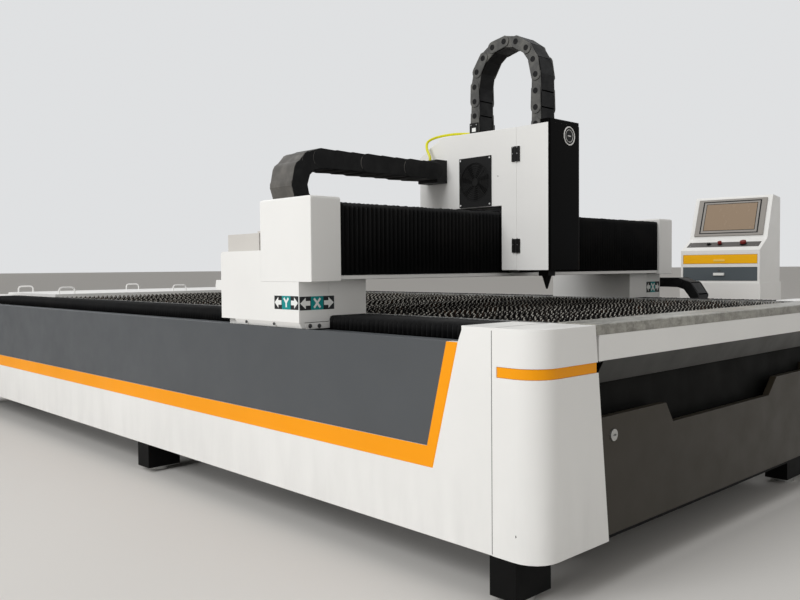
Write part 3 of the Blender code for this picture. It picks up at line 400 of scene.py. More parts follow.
# Black for joints and screws, and painted shade in the screen's recessed steps and the gaps between
# sheets.
BLACK_FOR_JOINTS_AND_SHADE = plain_plastic("black_for_joints_and_shade", srgb(14, 14, 14), 0.60)
FAN_WIRE = plain_plastic("fan_wire", srgb(32, 32, 32), 0.36, shine=0.12)
FAN_BLADE = plain_plastic("fan_blade", srgb(10, 10, 10), 0.42, shine=0.12)
BADGE_GREY = plain_plastic("badge_grey", srgb(236, 236, 234), 0.36)
BRIGHT_SCREW = machined_steel("bright_screw", srgb(232, 232, 230), 0.28)
STRIP_GREY = plain_plastic("strip_grey", srgb(88, 86, 84), 0.42)
PALE_YELLOW = plain_plastic("pale_yellow", srgb(250, 206, 96), 0.40)


def pale_floor():
    """A plain floor, which is part of the stage and not of the object."""
    ground = bmesh.new()
    bmesh.ops.create_grid(ground, x_segments=1, y_segments=1, size=400.0)
    mesh = bpy.data.meshes.new("studio_floor")
    ground.to_mesh(mesh)
    ground.free()
    floor = bpy.data.objects.new("studio_floor", mesh)
    bpy.context.scene.collection.objects.link(floor)
    pale = Finish("studio_floor", (0.66, 0.65, 0.63), 0.85, specular_ior_level=0.2)
    mesh.materials.append(pale.material)


def background():
    """A pale backdrop for the camera and for reflections, and a weaker warm fill for the object."""
    world = bpy.context.scene.world or bpy.data.worlds.new("studio")
    bpy.context.scene.world = world
    world.use_nodes = True
    tree = world.node_tree
    tree.nodes.clear()
    path = tree.nodes.new("ShaderNodeLightPath")
    seen = tree.nodes.new("ShaderNodeBackground")
    seen.inputs["Color"].default_value = (0.74, 0.75, 0.76, 1.0)
    fill = tree.nodes.new("ShaderNodeBackground")
    fill.inputs["Color"].default_value = (1.0, 0.970, 0.932, 1.0)
    fill.inputs["Strength"].default_value = 0.40
    mix = tree.nodes.new("ShaderNodeMixShader")
    out = tree.nodes.new("ShaderNodeOutputWorld")
    shown = path.outputs["Is Camera Ray"]
    for ray in ("Is Transmission Ray", "Is Glossy Ray"):
        either = tree.nodes.new("ShaderNodeMath")
        either.operation = "MAXIMUM"
        tree.links.new(shown, either.inputs[0])
        tree.links.new(path.outputs[ray], either.inputs[1])
        shown = either.outputs[0]
    tree.links.new(shown, mix.inputs[0])
    tree.links.new(fill.outputs[0], mix.inputs[1])
    tree.links.new(seen.outputs[0], mix.inputs[2])
    tree.links.new(mix.outputs[0], out.inputs[0])


def soft_lamps():
    """Each lamp's place, the point that it faces, its side in metres and its power in watts."""
    lamps = (
        ("key_lamp", (-11.0, 1.5, 8.0), (1.0, 2.0, 0.6), 8.0, 1150.0),
        ("roof_lamp", (2.0, 3.0, 8.0), (1.4, 2.0, 0.5), 8.0, 170.0),
        ("front_lamp", (1.5, -7.0, 3.5), (1.3, 1.0, 0.8), 4.0, 30.0),
    )
    for name, place, aim, size, power in lamps:
        light = bpy.data.lights.new(name, "AREA")
        light.size = size
        light.energy = power
        lamp = bpy.data.objects.new(name, light)
        lamp.location = at(*place)
        lamp.rotation_euler = (at(*aim) - at(*place)).to_track_quat("-Z", "Y").to_euler()
        bpy.context.scene.collection.objects.link(lamp)


def photo_camera():
    """The camera at the photograph's view."""
    ahead = math.cos(PITCH)
    forward = Vector((ahead * math.cos(YAW), ahead * math.sin(YAW), math.sin(PITCH)))
    level_right = forward.cross(Vector(UPWARDS)).normalized()
    level_up = level_right.cross(forward)
    right = math.cos(ROLL) * level_right + math.sin(ROLL) * level_up
    up = -math.sin(ROLL) * level_right + math.cos(ROLL) * level_up
    lens = bpy.data.cameras.new("camera")
    lens.lens = LENS_MM
    lens.clip_start = 0.05
    camera = bpy.data.objects.new("camera", lens)
    turn = Matrix((right, up, -forward)).transposed().to_4x4()
    camera.matrix_world = Matrix.Translation(at(*EYE)) @ turn
    bpy.context.scene.collection.objects.link(camera)
    bpy.context.scene.camera = camera
    bpy.context.scene.view_settings.view_transform = "Standard"


def finish_piece(name, body_mesh, materials, smooth_angle=40.0):
    """Turn a bmesh into a scene object at the origin, smooth apart from its sharp edges."""
    mesh = bpy.data.meshes.new(name)
    body_mesh.to_mesh(mesh)
    body_mesh.free()
    for material in materials:
        mesh.materials.append(material)
    mesh.shade_smooth()
    mesh.set_sharp_from_angle(angle=math.radians(smooth_angle))
    obj = bpy.data.objects.new(name, mesh)
    bpy.context.scene.collection.objects.link(obj)
    return obj


def node_body(node):
    """The body that a CAD node rides on."""
    return frame["nodes"][node]["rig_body"]


def slot_of(node):
    """The material slot that a CAD node has in the record."""
    for part in frame["record"]["subparts"]:
        if part["node"] == node:
            return part["material_slot"]
    return None


def round_off(body_mesh, edges, width, segments=2, clamp=False):
    """Round some edges."""
    bmesh.ops.bevel(
        body_mesh,
        geom=list(edges),
        offset=width,
        affect="EDGES",
        segments=segments,
        profile=0.5,
        clamp_overlap=clamp,
        material=-1,
    )


def paint_round(verts, material):
    """Give the faces round some vertices a finish."""
    for face in {near for vert in verts for near in vert.link_faces}:
        face.material_index = material


def raise_faces(body_mesh, faces, step, keep=False):
    """Extrude faces by a step; gives the vertices that moved."""
    made = bmesh.ops.extrude_face_region(body_mesh, geom=list(faces), use_keep_orig=keep)["geom"]
    moved = [item for item in made if isinstance(item, bmesh.types.BMVert)]
    bmesh.ops.translate(body_mesh, vec=step, verts=moved)
    return moved


def evenly_shaded(piece):
    """Let large flat faces keep their own normals beside small rounded edges."""
    shading = piece.modifiers.new("even_shading", "WEIGHTED_NORMAL")
    shading.keep_sharp = True
    shading.weight = 80


def softened(node, materials, width=0.0025, segments=2, zones=()):
    """A copy of a rigid node with rounded edges that stands for it; zones are its other finishes."""
    source = frame["nodes"][node]
    body_mesh = bmesh.new()
    body_mesh.from_mesh(source.data)
    bmesh.ops.remove_doubles(body_mesh, verts=body_mesh.verts, dist=0.00002)
    bmesh.ops.dissolve_limit(
        body_mesh, angle_limit=math.radians(0.6), verts=body_mesh.verts, edges=body_mesh.edges
    )
    for face in body_mesh.faces:
        face.material_index = 0
    if width:
        edges = [edge for edge in body_mesh.edges if edge.is_manifold]
        sharp = [edge for edge in edges if edge.calc_face_angle() > SHARP]
        round_off(body_mesh, sharp, width, segments, clamp=True)
    body_mesh.normal_update()
    for face in body_mesh.faces:
        centre = face.calc_center_median() - CORNER
        for index, test in zones:
            if test(centre, face.normal):
                face.material_index = index
    piece = finish_piece(f"{node}_finished", body_mesh, materials)
    evenly_shaded(piece)
    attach(piece, node_body(node))
    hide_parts(node)
    slot_of(node)
    return piece


def local(x, y, z):
    """A place in a fitting's own coordinates, before it is stood where it belongs."""
    return Vector((x, y, z))


def box_into(body_mesh, low, high, material=0, bevel=0.0, spot=at, segments=2):
    """Add a box with softened edges to a bmesh, between two corners."""
    low, high = spot(*low), spot(*high)
    made = bmesh.ops.create_cube(body_mesh, size=1.0)["verts"]
    bmesh.ops.scale(body_mesh, vec=high - low, verts=made)
    bmesh.ops.translate(body_mesh, vec=(low + high) / 2, verts=made)
    paint_round(made, material)
    if bevel:
        round_off(body_mesh, {edge for vert in made for edge in vert.link_edges}, bevel, segments)


def rod_into(
    body_mesh, centre, axis, radius, length, material=0, sides=24, tip=None, bevel=0.0, spot=at
):
    """Add a cylinder or cone along an axis to a bmesh."""
    made = bmesh.ops.create_cone(
        body_mesh,
        cap_ends=True,
        segments=sides,
        radius1=radius,
        radius2=radius if tip is None else tip,
        depth=length,
    )["verts"]
    turn = Vector(UPWARDS).rotation_difference(Vector(axis)).to_matrix()
    bmesh.ops.rotate(body_mesh, cent=(0, 0, 0), matrix=turn, verts=made)
    bmesh.ops.translate(body_mesh, vec=spot(*centre), verts=made)
    paint_round(made, material)
    if bevel:
        caps = {face for vert in made for face in vert.link_faces if len(face.verts) > 4}
        round_off(body_mesh, {edge for face in caps for edge in face.edges}, bevel)


def repeat_along(body_mesh, geometry, step, count):
    """Copy geometry along a line until there are as many as counted."""
    bmesh.ops.spin(
        body_mesh, geom=geometry, cent=(0, 0, 0), axis=UPWARDS, dvec=step, angle=0.0, steps=count - 1,
        use_duplicate=True,
    )


def fitted(name, body_mesh, materials, body, slot):
    """A new fitting that rides on a body."""
    piece = finish_piece(name, body_mesh, materials)
    evenly_shaded(piece)
    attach(piece, body)
    return piece


def bed_finishes():
    """Frames, sheets and plates of the bed, with their edges rounded."""
    foot_pad_top, beam_top, skin = 0.029, 0.7005, 0.0015
    pads = [(1, lambda c, n: c.z < foot_pad_top)]
    rails = [(1, lambda c, n: c.z > beam_top)]
    for name in ("front", "middle", "rear"):
        softened(f"base_frame_{name}", [FRAME_BLACK, STEEL], 0.004, 2, pads)
    for side in ("left", "right"):
        softened(f"side_beam_{side}", [FRAME_BLACK, STEEL], 0.0015, 1, rails)
        softened(f"side_panel_{side}", [PANEL_GREY], 0.0012, 1)
        softened(f"corner_cover_{side}", [WHITE], 0.004, 3)
        softened(f"corner_light_{side}", [AMBER], 0.0015, 2)
        band = (lambda c, n: c.x < skin) if side == "left" else (lambda c, n: c.x > BED_W - skin)
        softened(f"side_skirt_{side}", [WHITE, ORANGE], 0.0012, 1, [(1, band)])
        softened(f"door_lock_{side}", [STEEL], 0.0015, 2)
    softened("rear_cover", [WHITE], 0.004, 2)
    softened("front_edge_strip", [ZINC], 0.001, 1)
    slope_top, recess_top, recess_front, door_top, door_end = 0.7112, 0.6345, 0.0405, 0.54, 1.98
    # Zone 2, the strip set back above the door, is painted near black: painted shade of the recess.
    zones = [
        (1, lambda c, n: c.z < slope_top),
        (2, lambda c, n: c.z < recess_top and c.y > recess_front),
        (3, lambda c, n: c.z < door_top and c.x > door_end and c.y < 0.04),
    ]
    panel = softened("front_panel", [WHITE, SLOPE_GREY, RECESS_PAINTED_SHADE, DOOR_BROWN], 0.0012, 1, zones)
    for vert in panel.data.vertices:
        vert.co.y = max(vert.co.y, CORNER.y)
    door = softened("front_door", [DOOR_BROWN], 0.002, 2)
    foot, head, left_edge, lean = 0.160, 0.535, 0.3655, 0.040
    for vert in door.data.vertices:
        place = vert.co - CORNER
        if place.x < left_edge:
            vert.co.x -= lean * (place.z - foot) / (head - foot)
    for name in ("left", "middle", "right"):
        softened(f"deck_plate_{name}", [WHITE], 0.0015, 2)
    softened("slag_tray", [ZINC], 0.001, 1)
    softened("y_chain_tray", [FRAME_BLACK], 0.001, 1)


def gantry_finishes():
    """The beam, its feet and covers."""
    beam_low, plate_low, foot_width = 0.9745, 0.95, 0.337
    feet = [
        (1, lambda c, n: c.z < beam_low and (c.x < foot_width or c.x > BED_W - foot_width)),
        (1, lambda c, n: plate_low < c.z < beam_low),
    ]
    softened("gantry_beam", [STEEL, WHITE], 0.0015, 1, feet)
    # The motor box on each foot cover takes the grey: partly its own paint, partly painted shade.
    motor_box = [(1, lambda c, n: c.z > 1.0760 and 1.400 < c.y < 1.645)]
    sill_top, sill_side, cover_side = 0.7950, 0.0140, 0.0012
    for side in ("left", "right"):
        cover = softened(f"foot_cover_{side}", [WHITE, MOTOR_BOX_GREY_AND_SHADE], 0.0012, 2, motor_box)
        for vert in cover.data.vertices:
            sill = vert.co.z - CORNER.z < sill_top and side == "left"
            vert.co.x = max(vert.co.x, CORNER.x + (sill_side if sill else cover_side))
        low, high = (cover_side, 0.145) if side == "left" else (BED_W - 0.145, BED_W)
        folded = bmesh.new()
        box_into(folded, (low, 1.034, 0.951), (high, 1.3622, 1.272))
        top, front = at(0, 0, 1.271).z, at(0, 1.035, 0).y
        for offset, test in (
            (0.011, lambda edge: all(vert.co.z > top for vert in edge.verts)),
            (0.004, lambda edge: all(vert.co.y < front for vert in edge.verts)),
        ):
            round_off(folded, [edge for edge in folded.edges if test(edge)], offset, 4)
        slot = slot_of(f"end_cover_{side}")
        cover = fitted(f"end_cover_{side}_finished", folded, [WHITE], "gantry", slot)
        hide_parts(f"end_cover_{side}")
        softened(f"y_pinion_{side}", [STEEL], 0.0006, 1)


def head_finishes():
    """Carriage, housing, hinged cover, lift slide and screw."""
    softened("x_carriage", [DARK_STEEL], 0.0015, 1)
    softened("x_pinion", [STEEL], 0.0006, 1)
    softened("z_screw", [STEEL], 0.0, 0)
    bracket = [(1, lambda c, n: c.x < HOUSING_LEFT)]
    softened("head_housing", [WHITE, BLACK_PLASTIC], 0.003, 2, bracket)
    front_depth, cover_top, optics_low = 0.774, 1.6272, 1.02
    front = [
        (1, lambda c, n: n.y < -0.45 and c.y < front_depth),
        (1, lambda c, n: c.z > cover_top),
        (2, lambda c, n: c.x < HOUSING_LEFT),
    ]
    softened("head_front_cover", [WHITE, BLACK_GLOSS, BLACK_PLASTIC], 0.003, 2, front)
    softened("cutting_head", [STEEL, BLACK_PLASTIC], 0.0015, 1, [(1, lambda c, n: c.z < optics_low)])
    softened("fibre_cable", [FIBRE_YELLOW], 0.0, 0)


def console_finishes():
    """Cabinet, drawers, screen and buttons; the lower drawer's pull and lock are set to the left."""
    stand = Matrix.Translation(CONSOLE_SPOT) @ Matrix.Rotation(CONSOLE_TURN, 4, "Z")
    dial = (stand @ SHELF @ Matrix.Translation((0, 0.097, 0))).inverted()
    knob = [(1, lambda c, n: (dial @ c).z > 0.0008 and (dial @ c).xy.length < 0.0125)]
    softened("console_cabinet", [WHITE, BLACK_PLASTIC], 0.004, 3, knob)
    softened("console_drawer_upper", [YELLOW], 0.002, 2)
    front, lock_low = -0.0008, 0.955
    turn = Matrix.Rotation(-CONSOLE_TURN, 3, "Z")
    proud = [
        (1, lambda c, n: (turn @ (c - CONSOLE_SPOT)).x < front),
        (2, lambda c, n: (turn @ (c - CONSOLE_SPOT)).x < front and c.z > lock_low),
    ]
    drawer = softened("console_drawer_lower", [DRAWER_GREY, LABEL_WHITE, STRIP_GREY], 0.002, 2, proud)
    aside = turn.inverted() @ Vector((0, -0.044, 0))
    for vert in drawer.data.vertices:
        place = turn @ (vert.co - CORNER - CONSOLE_SPOT)
        if place.x < 0.006 and 0.005 < place.y < 0.085 and 0.926 < place.z < 0.978:
            vert.co += aside
    softened("console_screen", [BEZEL_GREY], 0.002, 2)
    softened("emergency_stop", [RED_PLASTIC], 0.003, 3)
    softened("start_button", [RED_PLASTIC], 0.002, 2)


def seams_and_screws():
    """Thin dark strips over the joints between sheets, a rubber seam in part and painted shade of the
    gaps, and the screws and bolts that the covers show.
    """
    seams = bmesh.new()
    # Dark strips at the joints of the corner covers and skirts: rubber seams, and painted shade of the
    # gaps.
    for low, high in ((0.0007, 0.0040), (BED_W - 0.0040, BED_W - 0.0007)):
        for y in (0.170, BED_L - 0.170):
            box_into(seams, (low, y - 0.0016, 0.150), (high, y + 0.0021, 0.8140))
    low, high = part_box("front_edge_strip")
    front, top = low[1] - CORNER.y, high[2] - CORNER.z
    box_into(seams, (1.1645, front + 0.001, top - 0.001), (1.1660, 0.140, top + 0.0002))
    fitted("sheet_joint_gap_shade", seams, [BLACK_FOR_JOINTS_AND_SHADE], "bed", slot_of("front_edge_strip"))

    screws = bmesh.new()
    for x in (0.0020, BED_W - 0.0020):
        for y, z in ((0.085, 0.223), (0.135, 0.640), (5.315, 0.223), (5.265, 0.640)):
            rod_into(screws, (x, y, z), ALONG_X, 0.0045, 0.0024, 1, 12)
    fitted("cover_screws", screws, [STEEL, BLACK_FOR_JOINTS_AND_SHADE], "bed", slot_of("front_edge_strip"))

    bolts = bmesh.new()
    for x, z in ((0.052, 0.782), (0.096, 0.780)):
        for place in (x, BED_W - x):
            rod_into(bolts, (place, 1.1095, z), ALONG_Y, 0.0068, 0.005, 0, 6, bevel=0.0006)
            rod_into(bolts, (place, 1.1115, z), ALONG_Y, 0.0085, 0.0012, 0, 16)
    for y in (1.279, 1.475):
        for x in (0.0022, BED_W - 0.0022):
            rod_into(bolts, (x, y, 0.786), ALONG_X, 0.0062, 0.0036, 0, 6, bevel=0.0005)
    fitted("foot_bolts", bolts, [DARK_STEEL], "gantry", slot_of("gantry_beam"))


def letter_strokes(letter):
    """The strokes of an axis letter in a box 1 wide and 1 high, as pairs of end points."""
    if letter == "X":
        return (((-0.42, -0.5), (0.42, 0.5)), ((-0.42, 0.5), (0.42, -0.5)))
    return (((0.0, -0.5), (0.0, 0.06)), ((0.0, 0.0), (-0.42, 0.5)), ((0.0, 0.0), (0.42, 0.5)))


def flat_into(body_mesh, outline, low, high, material):
    """Add a flat shape in local XY, with a thickness."""
    face = body_mesh.faces.new([body_mesh.verts.new((u, v, low)) for u, v in outline])
    face.material_index = material
    paint_round(raise_faces(body_mesh, [face], (0, 0, high - low), keep=True), material)


def axis_plate(letter, width, height):
    """A small plate that names an axis, with an arrow to each side of its letter."""
    plate = bmesh.new()
    half_w, half_h = width / 2, height / 2
    rim = height * 0.06
    corners = ((-1, -1), (1, -1), (1, 1), (-1, 1))
    border = [(u * (half_w + rim), v * (half_h + rim)) for u, v in corners]
    flat_into(plate, border, 0.0, 0.0004, 2)
    flat_into(plate, [(u * half_w, v * half_h) for u, v in corners], 0.0002, 0.0006, 0)
    flat_into(plate, [(u * width * 0.18, v * half_h) for u, v in corners], 0.0003, 0.0007, 1)
    tip, neck, end = half_w * 0.97, half_w * 0.66, half_w * 0.40
    for side in (-1, 1):
        arrow = [
            (tip, 0.0), (neck, half_h * 0.82), (neck, half_h * 0.34), (end, half_h * 0.34),
            (end, -half_h * 0.34), (neck, -half_h * 0.34), (neck, -half_h * 0.82),
        ]
        flat_into(plate, [(u * side, v) for u, v in arrow], 0.0004, 0.0009, 2)
    stroke = height * 0.085
    for number, (start, stop) in enumerate(letter_strokes(letter)):
        start = Vector(start) * height * 0.68
        stop = Vector(stop) * height * 0.68
        across = (stop - start).normalized().orthogonal() * stroke
        outline = [start + across, start - across, stop - across, stop + across]
        flat_into(plate, [tuple(point) for point in outline], 0.0004, 0.0009 + 0.0001 * number, 2)
    bmesh.ops.recalc_face_normals(plate, faces=plate.faces)
    return plate


def axis_plates():
    """Plates on the gantry's feet that name the axes."""
    facing_left = Matrix(((0, 0, -1), (-1, 0, 0), (0, 1, 0))).to_4x4()
    facing_front = Matrix(((1, 0, 0), (0, 0, -1), (0, 1, 0))).to_4x4()
    places = (
        ("axis_plate_y", "Y", 0.156, 0.052, (0.0012, 1.1930, 0.8705), facing_left),
        ("axis_plate_x_left", "X", 0.166, 0.052, (0.0867, 1.1118, 0.8685), facing_front),
        ("axis_plate_x_right", "X", 0.146, 0.062, (2.5835, 1.1118, 0.8750), facing_front),
    )
    for name, letter, width, height, place, turn in places:
        plate = axis_plate(letter, width, height)
        bmesh.ops.transform(plate, matrix=Matrix.Translation(at(*place)) @ turn, verts=plate.verts)
        fitted(name, plate, [LABEL_DARK, TEAL, LABEL_WHITE], "gantry", slot_of("gantry_beam"))


def ring_into(body_mesh, centre, axis, radius, wire, material=0, steps=40, sides=6):
    """Add a ring of round wire about an axis."""
    axis = Vector(axis)
    arm = axis.orthogonal().normalized()
    made = bmesh.ops.create_circle(body_mesh, segments=sides, radius=wire)["verts"]
    stand = Vector(UPWARDS).rotation_difference(axis.cross(arm)).to_matrix()
    bmesh.ops.rotate(body_mesh, cent=(0, 0, 0), matrix=stand, verts=made)
    bmesh.ops.translate(body_mesh, vec=at(*centre) + arm * radius, verts=made)
    edges = list({edge for vert in made for edge in vert.link_edges})
    before = set(body_mesh.faces)
    bmesh.ops.spin(
        body_mesh,
        geom=made + edges,
        cent=at(*centre),
        axis=axis,
        angle=2 * math.pi,
        steps=steps,
        use_merge=True,
    )
    for face in set(body_mesh.faces) - before:
        face.material_index = material


def fan_guard():
    """The fan's square frame on the housing's left side: a round opening, wire rings and blades."""
    y, z, half_y, half_z, hole = 1.1865, 1.4000, 0.0985, 0.1165, 0.0900
    steps, rings, struts, blades = 48, 8, 4, 7
    guard = bmesh.new()
    rims = []
    for share in (0.0, 1.0):
        ring = bmesh.ops.create_circle(guard, segments=steps, radius=hole)["verts"]
        for vert in ring:
            u, v = vert.co.x / hole, vert.co.y / hole
            reach = max(abs(u), abs(v))
            u, v = (u / reach * half_y, v / reach * half_z) if share else (u * hole, v * hole)
            vert.co = at(HOUSING_LEFT, y + u, z + v)
        rims += list({edge for vert in ring for edge in vert.link_edges})
    bmesh.ops.bridge_loops(guard, edges=rims)
    bmesh.ops.recalc_face_normals(guard, faces=guard.faces)
    raise_faces(guard, guard.faces, (-0.0050, 0, 0), keep=True)
    rod_into(guard, (1.0903, y, z), ALONG_X, hole + 0.004, 0.0006, 1, steps)
    for number in range(rings):
        ring_into(guard, (1.0862, y, z), ALONG_X, 0.0180 + 0.0098 * number, 0.0011, 2)
    for number in range(struts):
        angle = math.radians(45 + 90 * number)
        arm = Vector((0, math.cos(angle), math.sin(angle)))
        middle = Vector((1.0876, y, z)) + arm * 0.054
        rod_into(guard, middle, arm, 0.0012, 0.074, 2, 6)
    rod_into(guard, (1.0875, y, z), ALONG_X, 0.017, 0.0020, 2, 24, bevel=0.0004)
    for blade in range(blades):
        angle = 2 * math.pi * blade / blades
        arm = Vector((0, math.cos(angle), math.sin(angle)))
        across = Vector((0, -math.sin(angle), math.cos(angle)))
        centre = at(1.0895, y, z)
        outline = [
            centre + arm * 0.020 + across * 0.006,
            centre + arm * 0.020 - across * 0.006,
            centre + arm * 0.084 + across * 0.004,
            centre + arm * 0.080 + across * 0.030,
        ]
        face = guard.faces.new([guard.verts.new(point) for point in outline])
        face.material_index = 3
        paint_round(raise_faces(guard, [face], (0.0006, 0, 0), keep=True), 3)
    bmesh.ops.recalc_face_normals(guard, faces=guard.faces)
    slot = slot_of("x_carriage")
    fitted("fan_guard", guard, [BLACK_PLASTIC, BLACK_FOR_JOINTS_AND_SHADE, FAN_WIRE, FAN_BLADE], "head", slot)
    screws = bmesh.new()
    for u in (-1, 1):
        for v in (-1, 1):
            place = (1.0852, y + u * (half_y - 0.008), z + v * (half_z - 0.010))
            rod_into(screws, place, ALONG_X, 0.0044, 0.0024, 1, 12, bevel=0.0005)
    rod_into(screws, (1.0902, 1.050, 1.417), ALONG_X, 0.0030, 0.0020, 0, 12, bevel=0.0004)
    leaf_screws = bmesh.new()
    for z_leaf in (1.100, 1.128, 1.508, 1.536):
        rod_into(screws, (1.0822, 0.9585, z_leaf), ALONG_X, 0.0024, 0.0014, 0, 10)
        rod_into(leaf_screws, (1.0822, 0.9330, z_leaf), ALONG_X, 0.0024, 0.0014, 0, 10)
    cover = "head_front_cover"
    fitted("cover_leaf_screws", leaf_screws, [STEEL], node_body(cover), slot_of(cover))
    fitted("head_screws", screws, [STEEL, BRIGHT_SCREW], "head", slot)


def head_emblem():
    """A plain round badge on the head's black front: two rings and a disc."""
    badge = bmesh.new()
    x, z = 1.2360, 1.5790
    rod_into(badge, (x, 0.7608, z), ALONG_Y, 0.0425, 0.0016, 1, 40, bevel=0.0003)
    ring_into(badge, (x, 0.7606, z), ALONG_Y, 0.0392, 0.0032, 0, 48)
    ring_into(badge, (x, 0.7602, z), ALONG_Y, 0.0270, 0.0014, 0, 40)
    box_into(badge, (x - 0.0120, 0.7592, z - 0.0022), (x + 0.0120, 0.7604, z + 0.0022), 0, 0.0004)
    bmesh.ops.recalc_face_normals(badge, faces=badge.faces)
    cover = "head_front_cover"
    fitted("front_badge", badge, [BADGE_GREY, BLACK_PLASTIC], node_body(cover), slot_of(cover))


def chain_ends():
    """The bracket at the foot of the lift chain, and the clamp plates on the cross chain's end."""
    ends = bmesh.new()
    for x in (1.1420, 1.2620):
        box_into(ends, (x, 1.2140, 1.6330), (x + 0.0050, 1.2680, 1.6900), 0, 0.0010)
    box_into(ends, (1.1408, 1.2280, 1.6480), (1.1421, 1.2520, 1.6660), 1, 0.0004)
    for x in (1.1415, 1.2675):
        for y in (1.2240, 1.2580):
            rod_into(ends, (x, y, 1.6800), ALONG_X, 0.0030, 0.0022, 2, 12)
    for x in (1.035, 1.078):
        for y in (1.388, 1.482):
            rod_into(ends, (x, y, 1.5212), UPWARDS, 0.0042, 0.0030, 2, 6)
    finishes = [BLACK_PLASTIC, LABEL_WHITE, STEEL]
    fitted("chain_end_brackets", ends, finishes, "head", slot_of("x_carriage"))


def console_fittings():
    """The screen's frames and glass, the strip under the buttons, pulls and vents of the console."""
    stand = Matrix.Translation(at(*CONSOLE_SPOT)) @ Matrix.Rotation(CONSOLE_TURN, 4, "Z")
    body, slot = node_body("console_screen"), slot_of("console_screen")

    glass = bmesh.new()
    # From the back: a dark ring, the bezel, a dark ring and the glass; the dark rings are painted shade
    # in the bezel's recessed steps.
    layers = (
        (0.0380, 0.2920, 0.1970, 0.0110, 0.0124, 1),
        (0.0450, 0.2835, 0.1880, 0.0115, 0.0128, 0),
        (0.0600, 0.2720, 0.1740, 0.0120, 0.0131, 1),
        (0.0640, 0.2680, 0.1700, 0.0124, 0.0134, 2),
    )
    for low, high, half, back, face, material in layers:
        box_into(glass, (low, -half, back), (high, half, face), material, 0.0002, local)
    bmesh.ops.transform(glass, matrix=stand @ SCREEN_FACE, verts=glass.verts)
    fitted("screen_layers", glass, [BEZEL_GREY, BLACK_FOR_JOINTS_AND_SHADE, SCREEN_GLASS], body, slot)

    strip = bmesh.new()
    box_into(strip, (-0.040, -0.238, -0.0004), (0.040, 0.238, 0.0016), 0, 0.0006, local)
    for w, collar in ((-0.131, 0.0235), (0.023, 0.0165), (0.097, 0.0165)):
        rod_into(strip, (0.0, w, 0.0022), UPWARDS, collar, 0.0024, 1, 24, spot=local)
    for w in (-0.218, 0.218):
        for d in (-0.026, 0.026):
            rod_into(strip, (d, w, 0.0020), UPWARDS, 0.0030, 0.0020, 2, 10, spot=local)
    bmesh.ops.transform(strip, matrix=stand @ SHELF, verts=strip.verts)
    cabinet = node_body("console_cabinet")
    fitted("button_strip", strip, [STRIP_GREY, BLACK_PLASTIC, STEEL], cabinet, slot)

    pull = bmesh.new()
    box_into(pull, (-0.0030, -0.0360, 1.0250), (0.0, 0.0380, 1.0390), 0, 0.0008, local)
    bmesh.ops.transform(pull, matrix=stand, verts=pull.verts)
    fitted("upper_drawer_pull", pull, [PALE_YELLOW], node_body("console_drawer_upper"), slot)

    back = bmesh.new()
    for side in (-1, 1):
        for row in range(9):
            w = side * 0.2662
            z = 0.480 + 0.022 * row
            box_into(back, (0.200, w - 0.0004, z), (0.360, w + 0.0004, z + 0.008), spot=local)
    for row in range(12):
        z = 0.420 + 0.026 * row
        box_into(back, (0.5196, -0.150, z), (0.5204, 0.150, z + 0.009), spot=local)
    for z in (0.120, 0.800):
        box_into(back, (0.5190, -0.215, z), (0.5202, 0.215, z + 0.004), spot=local)
    for w in (-0.215, 0.211):
        box_into(back, (0.5190, w, 0.120), (0.5202, w + 0.004, 0.804), spot=local)
    rod_into(back, (0.5215, 0.180, 0.460), ALONG_X, 0.011, 0.004, 1, 20, bevel=0.0008, spot=local)
    bmesh.ops.transform(back, matrix=stand, verts=back.verts)
    fitted("cabinet_vents_and_doors", back, [BLACK_FOR_JOINTS_AND_SHADE, STEEL], cabinet, slot)


def folded_cloth(node, bodies, hill, valley, axis, reach, folds, travel, seed):
    """A bellows over one rail: cloth folded between a hill and a valley section along an axis."""
    loose = random.Random(seed)
    cloth = bmesh.new()
    rows = 4 * folds  # a crest, a slope, a root and a slope
    bmesh.ops.create_grid(cloth, x_segments=rows, y_segments=len(hill) - 1, size=0.5)
    along = sorted({round(vert.co.x, 5) for vert in cloth.verts})
    across = sorted({round(vert.co.y, 5) for vert in cloth.verts})
    depth = (0.0, 0.40, 1.0, 0.40)
    shifts = [loose.uniform(-0.10, 0.10) for _ in along]
    shifts[0] = shifts[-1] = 0.0
    dips = [loose.uniform(0.0, 0.10) for _ in along]
    pitch = (reach[1] - reach[0]) / rows
    for vert in cloth.verts:
        row = along.index(round(vert.co.x, 5))
        column = across.index(round(vert.co.y, 5))
        share = min(1.0, depth[row % 4] + dips[row])
        u = hill[column][0] + (valley[column][0] - hill[column][0]) * share
        v = hill[column][1] + (valley[column][1] - hill[column][1]) * share
        along_axis = reach[0] + pitch * (row + shifts[row])
        vert.co = at(along_axis, u, v) if axis == "x" else at(u, along_axis, v)
    bmesh.ops.recalc_face_normals(cloth, faces=cloth.faces)
    piece = finish_piece(f"{node}_cloth", cloth, [CLOTH], 50.0)
    thickness = piece.modifiers.new("cloth_thickness", "SOLIDIFY")
    thickness.thickness = 0.0015
    thickness.offset = 0.0
    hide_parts(node)
    slot_of(node)
    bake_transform(piece)


